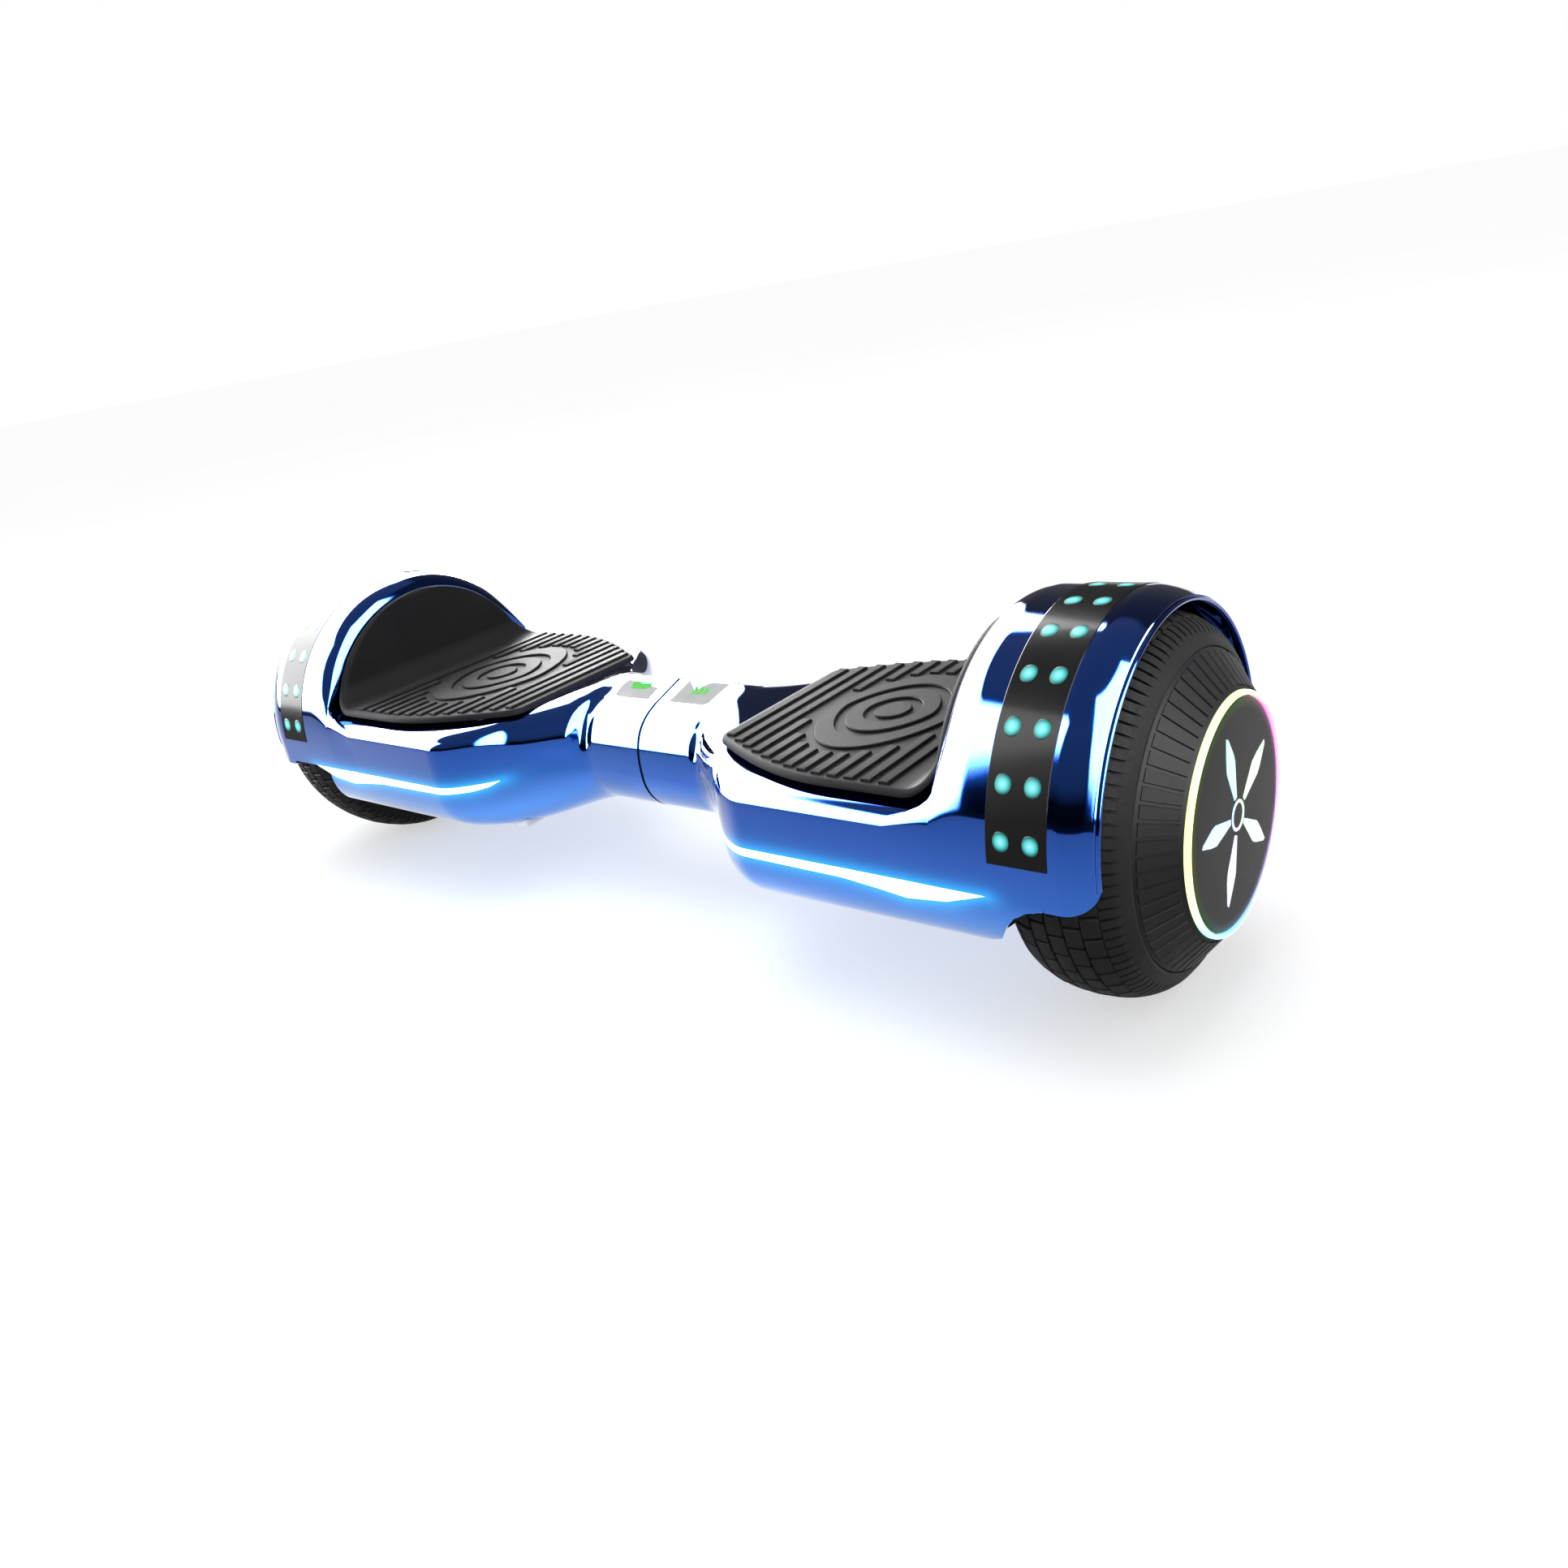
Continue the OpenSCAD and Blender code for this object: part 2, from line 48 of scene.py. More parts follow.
MM = 0.001
pad_lo, pad_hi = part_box("right_foot_pad")
top_lo, top_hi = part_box("right_top_shell")
cap_lo, cap_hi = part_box("right_hub_cap")
window_lo, window_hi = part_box("right_indicator_window")
strip_lo, strip_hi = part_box("right_fender_strip")
belly_lo, belly_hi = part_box("right_bottom_shell")

AXLE_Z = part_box("right_tyre")[1][2] / 2
CAP_R = (cap_hi[1] - cap_lo[1]) / 2
FENDER_R = (top_hi[1] - top_lo[1]) / 2
FENDER_Z = top_hi[2] - FENDER_R             # height of the fender's round axis
FENDER_OUT = top_hi[0]
FENDER_IN = FENDER_OUT - 73.5 * MM          # where the deck meets the fender's inner wall
SEAM_Z = top_lo[2]                          # the level seam between the two shells
JOINT_X = top_lo[0]                         # the hub's end at the joint in the middle
HUB_R = 36 * MM
DECK_HALF = (belly_hi[1] - belly_lo[1]) / 2
DECK_TOP = pad_lo[2] - 2.5 * MM
BELLY_Z = belly_lo[2]
APRON_END = belly_hi[0]
FLARE_START = 40 * MM                       # the hub widens to the deck from here
FLARE_END = 122 * MM                        # to here
WELL_X = 238 * MM                           # the lower shell's wall beside the wheel
SHELL_T = 2.6 * MM
SHELL_R = FENDER_R - 0.45 * MM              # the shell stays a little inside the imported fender


# ---- Small helpers ----

def step(low, high, value):
    """Smooth step from 0 at low to 1 at high."""
    t = np.clip((np.asarray(value, float) - low) / (high - low), 0, 1)
    return t * t * (3 - 2 * t)


def mix(a, b, t):
    return a + (b - a) * t


def new_piece(name, verts, faces, material, smooth=True):
    mesh = bpy.data.meshes.new(name)
    mesh.from_pydata([tuple(v) for v in verts], [], [tuple(f) for f in faces])
    mesh.materials.append(material)
    mesh.polygons.foreach_set("use_smooth", [smooth] * len(mesh.polygons))
    mesh.update()
    piece = bpy.data.objects.new(name, mesh)
    bpy.context.scene.collection.objects.link(piece)
    return piece


def plain_copy(piece, name):
    """The evaluated piece as a plain mesh object."""
    graph = bpy.context.evaluated_depsgraph_get()
    mesh = bpy.data.meshes.new_from_object(piece.evaluated_get(graph))
    result = bpy.data.objects.new(name, mesh)
    bpy.context.scene.collection.objects.link(result)
    return result


def drop(*pieces):
    for piece in pieces:
        bpy.data.objects.remove(piece)


def outward(piece):
    """Recalculates the normals of a closed piece so that they point out."""
    bm = bmesh.new()
    bm.from_mesh(piece.data)
    bmesh.ops.remove_doubles(bm, verts=bm.verts, dist=1e-6)
    bmesh.ops.recalc_face_normals(bm, faces=bm.faces)
    bm.to_mesh(piece.data)
    bm.free()
    return piece


def mirrored(piece, name):
    """A copy of a right-hand piece, reflected to the left."""
    mesh = piece.data.copy()
    mesh.transform(Matrix.Scale(-1, 4, (1, 0, 0)))
    mesh.flip_normals()
    result = bpy.data.objects.new(name, mesh)
    bpy.context.scene.collection.objects.link(result)
    return result


def sharp_by_angle(piece, degrees):
    """Smooth shading that breaks at edges sharper than an angle."""
    bm = bmesh.new()
    bm.from_mesh(piece.data)
    limit = math.radians(degrees)
    for edge in bm.edges:
        edge.smooth = len(edge.link_faces) == 2 and edge.calc_face_angle(0) < limit
    for face in bm.faces:
        face.smooth = True
    bm.to_mesh(piece.data)
    bm.free()
    return piece


def grid_faces(rows, cols, wrap_rows=False, wrap_cols=False):
    faces = []
    for i in range(rows if wrap_rows else rows - 1):
        for j in range(cols if wrap_cols else cols - 1):
            a, b = i * cols + j, i * cols + (j + 1) % cols
            c, d = ((i + 1) % rows) * cols + (j + 1) % cols, ((i + 1) % rows) * cols + j
            faces.append((a, b, c, d))
    return faces


def even(points, count):
    """Resamples a polyline to count points at equal steps along it."""
    points = np.asarray(points, float)
    lengths = np.r_[0, np.cumsum(np.hypot(*np.diff(points, axis=0).T))]
    at = np.linspace(0, lengths[-1], count)
    return np.c_[np.interp(at, lengths, points[:, 0]), np.interp(at, lengths, points[:, 1])]


def around_axle(profile, steps):
    """Turns a closed profile of (x, radius) points about the wheel axle."""
    verts = []
    for i in range(steps):
        a = 2 * math.pi * i / steps
        verts += [(x, -r * math.cos(a), AXLE_Z + r * math.sin(a)) for x, r in profile]
    return verts, grid_faces(steps, len(profile), wrap_rows=True, wrap_cols=True)


def turned_piece(name, profile, material, steps=192):
    """A piece turned about the axle from (x, radius) points in millimetres."""
    verts, faces = around_axle([(x * MM, r * MM) for x, r in profile], steps)
    return sharp_by_angle(outward(new_piece(name, verts, faces, material)), 35)


def stacked(name, layers, material):
    """A closed piece through layers of equally many (x, y, z) points, capped at both ends."""
    count = len(layers[0])
    verts = [v for layer in layers for v in layer]
    faces = grid_faces(len(layers), count, wrap_cols=True)
    faces += [tuple(range(count))[::-1], tuple(range(len(verts) - count, len(verts)))]
    return outward(new_piece(name, verts, faces, material, smooth=False))


def station(x, outline):
    """An outline of (y, z) points set up at x."""
    return np.c_[np.full(len(outline), x), outline]


def vertex_places(piece):
    places = np.empty(len(piece.data.vertices) * 3)
    piece.data.vertices.foreach_get("co", places)
    return places.reshape(-1, 3)


def write_attribute(piece, name, values):
    """Writes one number per vertex, for a material to read."""
    layer = piece.data.attributes.new(name, "FLOAT", "POINT")
    layer.data.foreach_set("value", np.asarray(values, np.float32))


def fit(piece, body, slot, *nodes):
    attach(piece, body)
    if nodes:
        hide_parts(*nodes)
    return piece


def both_sides(piece, half, slot, node):
    """Fits a right-hand piece and its mirror image on the two halves."""
    other = mirrored(piece, piece.name.replace("right_", "left_"))
    for side, one in (("right", piece), ("left", other)):
        fit(one, f"{side}_{half}", slot, *([f"{side}_{node}"] if node else []))
    return piece, other


# ---- Materials ----

class Nodes:
    """A node tree with short ways to add, feed and join its nodes."""

    def __init__(self, tree):
        self.tree = tree

    def feed(self, socket, value):
        """Links an input to another node's output, or sets its own value."""
        if isinstance(value, bpy.types.NodeSocket):
            self.tree.links.new(value, socket)
        elif socket.type == "RGBA" and len(value) == 3:
            socket.default_value = (*value, 1)
        else:
            socket.default_value = value

    def add(self, kind, inputs=None, **settings):
        node = self.tree.nodes.new(kind)
        for key, value in settings.items():
            setattr(node, key, value)
        for key, value in (inputs or {}).items():
            self.feed(node.inputs[key], value)
        return node

    def math(self, operation, *values):
        return self.add("ShaderNodeMath", dict(enumerate(values)), operation=operation).outputs[0]

    def ramp(self, factor, stops, interpolation="LINEAR"):
        """A ramp through stops of (place, colour), where a plain number stands for a grey."""
        node = self.add("ShaderNodeValToRGB", {0: factor})
        ramp = node.color_ramp
        ramp.interpolation = interpolation
        while len(ramp.elements) < len(stops):
            ramp.elements.new(0.5)
        for element, (place, colour) in zip(ramp.elements, stops):
            element.position = place
            element.color = (*colour, 1) if isinstance(colour, tuple) else (colour, colour, colour, 1)
        return node.outputs[0]

    def blend(self, factor, a, b, blend_type="MIX"):
        inputs = {0: factor, 6: a, 7: b}
        return self.add("ShaderNodeMix", inputs, data_type="RGBA", blend_type=blend_type).outputs[2]


class Finish(Nodes):
    """The nodes of a new material, round its main shader."""

    def __init__(self, name):
        self.material = bpy.data.materials.new(name)
        self.material.use_nodes = True
        super().__init__(self.material.node_tree)
        self.shader = self.tree.nodes["Principled BSDF"]

    def place(self):
        return self.add("ShaderNodeTexCoord").outputs["Object"]

    def noise(self, scale, detail=3.0):
        inputs = {"Vector": self.place(), "Scale": scale, "Detail": detail}
        return self.add("ShaderNodeTexNoise", inputs).outputs["Fac"]

    def attribute(self, name):
        return self.add("ShaderNodeAttribute", attribute_name=name).outputs["Fac"]

    def drift(self, noise, low, high):
        """A colour or a grey that follows a noise from low to high."""
        return self.ramp(noise, [(0.3, low), (0.7, high)])

    def bump(self, height, strength, distance):
        node = self.add("ShaderNodeBump", {"Height": height, "Strength": strength, "Distance": distance})
        self.feed(self.shader.inputs["Normal"], node.outputs[0])

    def set(self, **values):
        """Feeds the shader's inputs, with _ for a space in each name."""
        for key, value in values.items():
            self.feed(self.shader.inputs[key.replace("_", " ")], value)


GLOW_COLOUR = (0.02, 0.55, 1.0)
BLACK, WHITE = (0.0, 0.0, 0.0), (1.0, 1.0, 1.0)


def blue_mirror_paint():
    """Vacuum-metallised blue: a tinted mirror under clear lacquer, with a painted reflection of the bright
    floor that makes the base colour paler towards the belly, and the headlight's halo painted on as emission.
    """
    n = Finish("blue_mirror_paint")
    # Painted reflection: the base colour turns paler blue low down, standing in for the bright floor mirrored
    # in the lower shell.
    height = n.add("ShaderNodeSeparateXYZ", {0: n.place()}).outputs["Z"]
    rise = n.math("MULTIPLY", n.math("SUBTRACT", height, 6 * MM), 5.0)
    rise = n.math("ADD", rise, n.math("MULTIPLY", n.noise(9.0, 2.0), 0.02))
    colour = n.ramp(rise, [(0.17, (0.15, 0.37, 0.82)), (0.28, (0.085, 0.26, 0.66)),
                           (0.38, (0.014, 0.095, 0.40)), (0.52, (0.003, 0.052, 0.30)),
                           (0.9, (0.003, 0.048, 0.29))])
    rough = n.ramp(n.noise(60.0, 6.0), [(0.35, 0.045), (0.75, 0.075)])
    n.set(Base_Color=colour, Metallic=1.0, Roughness=rough, Coat_Weight=1.0, Coat_Roughness=0.015,
          Coat_IOR=1.3, Emission_Color=n.blend(n.attribute("glow"), BLACK, GLOW_COLOUR),
          Emission_Strength=1.3)
    n.bump(n.noise(900.0, 2.0), 0.02, 0.2 * MM)
    return n.material


def black_rubber():
    """Moulded mat rubber with a fine matt grain."""
    n = Finish("mat_rubber")
    grain = n.noise(1400.0, 4.0)
    n.set(Base_Color=n.drift(n.noise(22.0), (0.009, 0.009, 0.0095), (0.013, 0.013, 0.0135)),
          Roughness=n.drift(grain, 0.5, 0.64), Specular_IOR_Level=0.015)
    n.bump(grain, 0.25, 0.3 * MM)
    return n.material


def tyre_rubber():
    n = Finish("tyre_rubber")
    grain = n.noise(900.0, 5.0)
    n.set(Base_Color=n.ramp(n.noise(30.0, 4.0), [(0.35, 0.005), (0.75, 0.009)]),
          Roughness=n.drift(grain, 0.5, 0.68), Specular_IOR_Level=0.035)
    n.bump(grain, 0.3, 0.4 * MM)
    return n.material


def ribbed_plastic():
    n = Finish("ribbed_plastic")
    grain = n.noise(1800.0)
    n.set(Base_Color=n.drift(n.noise(40.0), (0.007, 0.007, 0.0075), (0.011, 0.011, 0.0115)),
          Roughness=n.drift(grain, 0.42, 0.54), Specular_IOR_Level=0.04)
    n.bump(grain, 0.15, 0.2 * MM)
    return n.material


def smoked_strip():
    n = Finish("smoked_strip")
    n.set(Base_Color=n.drift(n.noise(25.0), (0.009, 0.009, 0.0095), (0.013, 0.013, 0.0135)),
          Roughness=n.drift(n.noise(500.0, 2.0), 0.2, 0.26), Specular_IOR_Level=0.02,
          Coat_Weight=0.25, Coat_Roughness=0.03, Coat_IOR=1.12)
    return n.material


def plain(name, colour, roughness, metallic=0.0, grain=400.0, depth=0.1, coat=0.0):
    """A finish with slight colour drift and a fine grain, for the small and inner pieces."""
    n = Finish(name)
    fine = n.noise(grain)
    n.set(Base_Color=n.drift(n.noise(35.0), tuple(c * 0.82 for c in colour), colour),
          Roughness=n.drift(fine, roughness * 0.88, min(1.0, roughness * 1.12)),
          Metallic=metallic, Coat_Weight=coat, Specular_IOR_Level=0.1)
    n.bump(fine, depth, 0.2 * MM)
    return n.material


def cap_gloss():
    """Glossy black cap with a painted glow near its rim: emission in the ring's colours stands in for the
    ring light falling on it.
    """
    n = Finish("cap_gloss")
    turn, radius = wheel_polar(n)
    # Painted glow: near its rim the cap emits the ring's colours, as if lit by the ring.
    painted_ring_glow = n.ramp(radius, [(0.88, 0.0), (0.985, 0.3), (1.0, 1.0)], "EASE")
    n.set(Base_Color=n.drift(n.noise(30.0), (0.004, 0.0032, 0.0036), (0.006, 0.0048, 0.0052)),
          Roughness=n.drift(n.noise(300.0), 0.2, 0.26), Specular_IOR_Level=0.04,
          Emission_Color=n.blend(1.0, painted_ring_glow, n.ramp(turn, RAINBOW), "MULTIPLY"), Emission_Strength=0.35)
    return n.material


def wheel_polar(n):
    """The turn round the axle from 0 to 1, and the radius in cap radii."""
    part = n.add("ShaderNodeSeparateXYZ", {0: n.place()})
    y, z = part.outputs["Y"], n.math("SUBTRACT", part.outputs["Z"], AXLE_Z)
    turn = n.math("ADD", n.math("DIVIDE", n.math("ARCTAN2", z, y), 2 * math.pi), 0.5)
    squares = n.math("ADD", n.math("MULTIPLY", y, y), n.math("MULTIPLY", z, z))
    return turn, n.math("DIVIDE", n.math("SQRT", squares), CAP_R)


RAINBOW = [(0.00, (0.75, 0.72, 0.10)), (0.12, (0.10, 0.62, 0.30)), (0.22, (0.10, 0.45, 0.80)),
           (0.34, (0.22, 0.22, 0.85)), (0.50, (0.72, 0.18, 0.75)), (0.62, (0.85, 0.10, 0.45)),
           (0.74, (0.35, 0.70, 0.10)), (0.86, (0.45, 0.80, 0.12)), (1.00, (0.75, 0.72, 0.10))]


def ring_light():
    n = Finish("ring_light")
    turn, _ = wheel_polar(n)
    n.set(Base_Color=(0.6, 0.6, 0.6), Roughness=0.3, Emission_Color=n.ramp(turn, RAINBOW),
          Emission_Strength=1.6)
    return n.material


def emblem_light():
    """The ring's colours, turned a little and bleached."""
    n = Finish("emblem_light")
    turn, _ = wheel_polar(n)
    colour = n.ramp(n.math("FRACT", n.math("ADD", turn, 0.35)), RAINBOW)
    n.set(Base_Color=(0.5, 0.6, 0.6), Roughness=0.3, Emission_Color=n.blend(0.42, colour, (0.70, 1.0, 1.0)),
          Emission_Strength=0.85, Specular_IOR_Level=0.1)
    return n.material


def led_light():
    """A cyan light whose rim falls off to teal, by the rim attribute of each dome."""
    n = Finish("led_light")
    rim = n.attribute("rim")
    colour = n.ramp(rim, [(0.0, (0.34, 0.84, 0.98)), (0.40, (0.14, 0.62, 0.76)), (0.52, (0.08, 0.62, 0.58)),
                          (0.74, (0.015, 0.30, 0.25)), (0.92, (0.008, 0.05, 0.045)),
                          (1.0, (0.004, 0.02, 0.018))])
    n.set(Base_Color=n.blend(rim, (0.06, 0.2, 0.2), (0.006, 0.012, 0.012)), Roughness=0.35,
          Specular_IOR_Level=0.05, Emission_Color=colour, Emission_Strength=1.0)
    return n.material


def headlight_glow():
    """White diffuser with a cyan edge, by its rim attribute."""
    n = Finish("headlight_glow")
    colour = n.ramp(n.attribute("rim"), [(0.0, WHITE), (0.6, (0.85, 0.99, 1.0)), (1.0, (0.25, 0.85, 1.0))])
    n.set(Base_Color=(0.8, 0.9, 1.0), Roughness=0.3, Emission_Color=colour, Emission_Strength=1.7)
    return n.material


def window_panel():
    n = Finish("window_panel")
    n.set(Base_Color=n.drift(n.noise(60.0, 2.0), (0.27, 0.275, 0.275), (0.31, 0.315, 0.315)),
          Roughness=n.drift(n.noise(400.0), 0.4, 0.46), Specular_IOR_Level=0.01)
    return n.material


def green_light():
    n = Finish("green_light")
    n.set(Base_Color=(0.06, 0.4, 0.05), Roughness=0.5, Emission_Color=(0.06, 0.62, 0.03),
          Emission_Strength=0.6, Specular_IOR_Level=0.0)
    return n.material


PAINT = blue_mirror_paint()
MAT_RUBBER = black_rubber()
TYRE_RUBBER = tyre_rubber()
RIBBED = ribbed_plastic()
STRIP = smoked_strip()
CAP = cap_gloss()
RING = ring_light()
EMBLEM = emblem_light()
LED = led_light()
HEADLIGHT = headlight_glow()
WINDOW = window_panel()
GREEN = green_light()
SEAL = plain("seal_rubber", (0.012, 0.012, 0.012), 0.55)
DARK_STEEL = plain("dark_steel", (0.05, 0.05, 0.055), 0.35, 1.0)
STEEL = plain("turned_steel", (0.55, 0.55, 0.57), 0.28, 1.0, grain=150.0)
CAST = plain("cast_aluminium", (0.55, 0.56, 0.58), 0.42, 1.0, grain=260.0, depth=0.4)
MACHINED = plain("machined_aluminium", (0.42, 0.42, 0.44), 0.3, 1.0)
BOARD = plain("circuit_board", (0.02, 0.14, 0.05), 0.35, coat=0.4)
COPPER = plain("copper_winding", (0.6, 0.24, 0.08), 0.35, 1.0)
GREY = plain("grey_moulding", (0.16, 0.16, 0.17), 0.5)
DARK = plain("dark_moulding", (0.018, 0.018, 0.019), 0.42)
NYLON = plain("bush_nylon", (0.66, 0.60, 0.44), 0.45)
WRAP = plain("battery_wrap", (0.02, 0.06, 0.22), 0.3, coat=0.5)
BUTTON = plain("button_metal", (0.5, 0.51, 0.53), 0.25, 1.0)


# ---- Upper shell ----

def plan_half(x):
    """Half depth of the body at x: the narrow hub flares to the full deck."""
    return mix(HUB_R, DECK_HALF, step(FLARE_START, FLARE_END, x))


SECTION_POINTS = 181    # along every section of the upper shell
FINE_POINTS = 721       # along a section before it is thinned

# The hub's upper outline from front to rear, as (y, height over the axle) in millimetres. The straight
# stretch that leans to the front carries the windows.
HUB_OUTLINE = [(-36, -5.5), (-36, 0), (-35.4, 6.5), (-33.9, 12.2), (-31.2, 17.6), (-26.6, 22.8),
               (-21, 26.6), (-15.8, 28.9), (-15.2, 29.35), (-14.0, 29.72), (-8, 31.57), (0, 34.04),
               (5.6, 35.77), (7.0, 36.2), (8.0, 36.3), (13.4, 34.6), (19, 31.1), (24.6, 26.4),
               (29.6, 20.5), (33.4, 13.4), (35.5, 6.2), (36, 0), (36, -5.5)]
ROOF_FRONT, ROOF_RIDGE = -15.4 * MM, 7.0 * MM
ROOF_RISE = 6.85 / 22.2     # the roof's slope, rise over run
RIDGE_Z = AXLE_Z + 36.2 * MM


def roof(x, y):
    """The raised roof over the hub, which slopes down into the deck."""
    down = step(46 * MM, 79 * MM, x)
    ridge = mix(RIDGE_Z, DECK_TOP - 3 * MM, down)
    front = mix(ROOF_FRONT, -40 * MM, down)
    back = mix(ROOF_RIDGE, 40 * MM, down)
    tilted = ridge + ROOF_RISE * (1 - down) * np.minimum(0, y - ROOF_RIDGE)
    over = np.maximum(0, np.maximum(front - y, y - back)) / (2.4 * MM)
    return tilted - 2.0 * MM * over ** 2


def cuff(x):
    """How far the deck's rolled front edge stands out past the waist, as a share of the half depth."""
    roll = step(47.5 * MM, 52 * MM, x) * (1 - step(54 * MM, 84 * MM, x))
    waist = step(38 * MM, 44 * MM, x) * (1 - step(46 * MM, 50 * MM, x))
    return 0.16 * roll - 0.05 * waist


SHOULDER_WIDE, SHOULDER_TALL = 17 * MM, 9.5 * MM      # the deck's rounded edge


def deck_outline(x):
    """The upper shell's outline across the body at x, from the front seam over to the rear seam."""
    full = step(FLARE_START, 100 * MM, x)
    half = plan_half(x)
    rise = mix(HUB_R, DECK_TOP - AXLE_Z, full)
    wide = mix(half * 0.98, SHOULDER_WIDE, full)
    tall = mix(HUB_R * 0.98, SHOULDER_TALL, full)
    a = np.linspace(0, math.pi / 2, 181)
    y = -(half - wide) - wide * np.cos(a)
    z = AXLE_Z + rise - tall + tall * np.sin(a)
    front = [(-half, SEAM_Z), (-half, (SEAM_Z + z[0]) / 2), *zip(y, z)]
    deck = even(front + [(-a, b) for a, b in front[::-1]], FINE_POINTS)
    hub = [(a * MM * half / HUB_R, AXLE_Z + b * MM) for a, b in HUB_OUTLINE]
    outline = mix(even(smooth_path(hub, 6), FINE_POINTS), deck, step(36 * MM, 58 * MM, x))
    in_front = outline[:, 0] < 0
    outline[:, 0] *= 1 + cuff(x) * step(AXLE_Z - 2 * MM, AXLE_Z + 18 * MM, outline[:, 1]) * in_front
    if x > 34 * MM:
        outline[:, 1] = np.maximum(outline[:, 1], roof(x, outline[:, 0]))
    return even(outline, SECTION_POINTS)


def fender_outline(radius):
    """The inner edge over the wheel: the crown's radius, with the shell's own radius down at the seam."""
    a = np.linspace(0, math.pi, 361)
    radius = min(radius, SHELL_R)
    rolled = mix(SHELL_R, radius, step(math.radians(8), math.radians(40), np.minimum(a, math.pi - a)))
    y = -rolled * np.cos(a)
    z = FENDER_Z + rolled * np.sin(a)
    return even([(y[0], SEAM_Z), *zip(y, z), (y[-1], SEAM_Z)], SECTION_POINTS)


def outer_outline(radius, low):
    """A round outline over the wheel, cut off or carried straight down at a height."""
    radius = min(radius, SHELL_R)
    a = np.linspace(0, math.pi, 361)
    y, z = -radius * np.cos(a), FENDER_Z + radius * np.sin(a)
    if low < FENDER_Z:
        return even([(y[0], low), *zip(y, z), (y[-1], low)], SECTION_POINTS)
    keep = z >= low
    return even(list(zip(y[keep], z[keep])), SECTION_POINTS)


DECK_END = 198 * MM     # the level deck's last section

# The fender's inner edge and outer lip as (x, radius) in millimetres
INNER_EDGE = [(227.0, 81.9), (227.5, 83.5), (228.8, 85.3), (230.8, 87.0), (233.6, 88.6), (237.4, 89.8),
              (242.0, 90.5), (247.0, 91.0)]
OUTER_EDGE = [(279.0, 91.0), (284.5, 90.6), (289.5, 89.5), (293.5, 88.1), (296.6, 86.6), (298.6, 85.6),
              (300.0, 85.3), (300.5, 84.6), (300.1, 83.8), (298.8, 83.4)]


def smooth_path(points, steps):
    """A Catmull-Rom curve through the points."""
    p = np.asarray([points[0], *points, points[-1]], float)
    out = []
    for i in range(1, len(p) - 2):
        for k in range(steps):
            t = k / steps
            out.append(0.5 * (2 * p[i] + (p[i + 1] - p[i - 1]) * t
                              + (2 * p[i - 1] - 5 * p[i] + 4 * p[i + 1] - p[i + 2]) * t * t
                              + (3 * p[i] - p[i - 1] - 3 * p[i + 1] + p[i + 2]) * t ** 3))
    out.append(p[-2])
    return out


def wheel_edge_z(x):
    """Lower edge of the fender: along the seam, then a step down and a round corner at the lip."""
    corner = 14 * MM
    low = mix(SEAM_Z, SEAM_Z - 2.4 * MM, step(APRON_END - 0.2 * MM, APRON_END + 0.8 * MM, x))
    into = np.clip((x - (FENDER_OUT - corner)) / corner, 0, 1)
    return low + corner * (1 - np.sqrt(1 - into ** 2)) * 0.95


def fender_climb():
    """Rows from the deck up the fender's inner wall, with a wider fillet out at the shoulders."""
    deck = deck_outline(FENDER_IN)
    wall = fender_outline(INNER_EDGE[0][1] * MM)
    fillet = mix(3 * MM, 24 * MM, step(80 * MM, 89 * MM, np.abs(deck[:, 0])))
    lift = np.maximum(wall[:, 1] - deck[:, 1], 1e-6)
    tall = step(0.1, 0.9, lift / fillet)
    rows = [np.c_[mix(DECK_END, FENDER_IN - fillet, share), deck] for share in np.linspace(0.05, 1, 6)]
    for m in np.r_[np.linspace(0.01, 0.3, 16), np.linspace(0.34, 1, 14)]:
        climbed = 1 - np.clip(m * lift / fillet, 0, 1)
        x = FENDER_IN - fillet * (1 - mix(m, np.sqrt(1 - climbed ** 2), tall))
        rows.append(np.c_[x, mix(deck, wall, m)])
    return rows


def top_shell_rows():
    """Sections of the upper shell from the joint out to the fender's lip."""
    deck_x = np.r_[np.linspace(JOINT_X, 36 * MM, 12), np.linspace(37 * MM, 62 * MM, 46),
                   np.linspace(63.5 * MM, 130 * MM, 40), np.linspace(134 * MM, DECK_END, 16)]
    rows = [station(x, deck_outline(x)) for x in deck_x]
    rows += fender_climb()
    rows += [station(x * MM, fender_outline(r * MM)) for x, r in smooth_path(INNER_EDGE, 4)[1:]]
    for x in np.r_[np.linspace(250, 276.5, 9), 277.0, 277.6, 278.2] * MM:
        rows.append(station(x, outer_outline(SHELL_R, wheel_edge_z(x))))
    low = 0.0
    for x, r in smooth_path(OUTER_EDGE, 4):
        low = max(low, float(wheel_edge_z(min(x * MM, FENDER_OUT - 0.3 * MM))))
        rows.append(station(x * MM, outer_outline(r * MM, low)))
    return rows


def thicken(piece, thickness):
    """Gives a sheet a wall behind it."""
    wall = piece.modifiers.new("wall", "SOLIDIFY")
    wall.thickness = thickness
    wall.offset = -1
    name = piece.name
    solid = plain_copy(piece, name)
    drop(piece)
    solid.name = name
    return solid


def glow_near_headlight(piece):
    """Writes how strongly the headlight's halo falls on each vertex."""
    x, y, z = (np.abs(vertex_places(piece)) / MM).T
    in_front = vertex_places(piece)[:, 1] < 0
    upper, lower = lens_edges(x)
    away = np.maximum(np.maximum(z - upper, lower - z), 0)
    ends = np.maximum(np.maximum(LENS_IN - x, x - LENS_OUT), 0) * 0.6
    halo = np.exp(-(np.hypot(away, ends) / HALO_REACH) ** 1.3)
    write_attribute(piece, "glow", 0.55 * halo * in_front)


# The headlight's ends and the reach of its halo, in millimetres
LENS_IN, LENS_OUT = 87.0, 251.0
HALO_REACH = 3.2


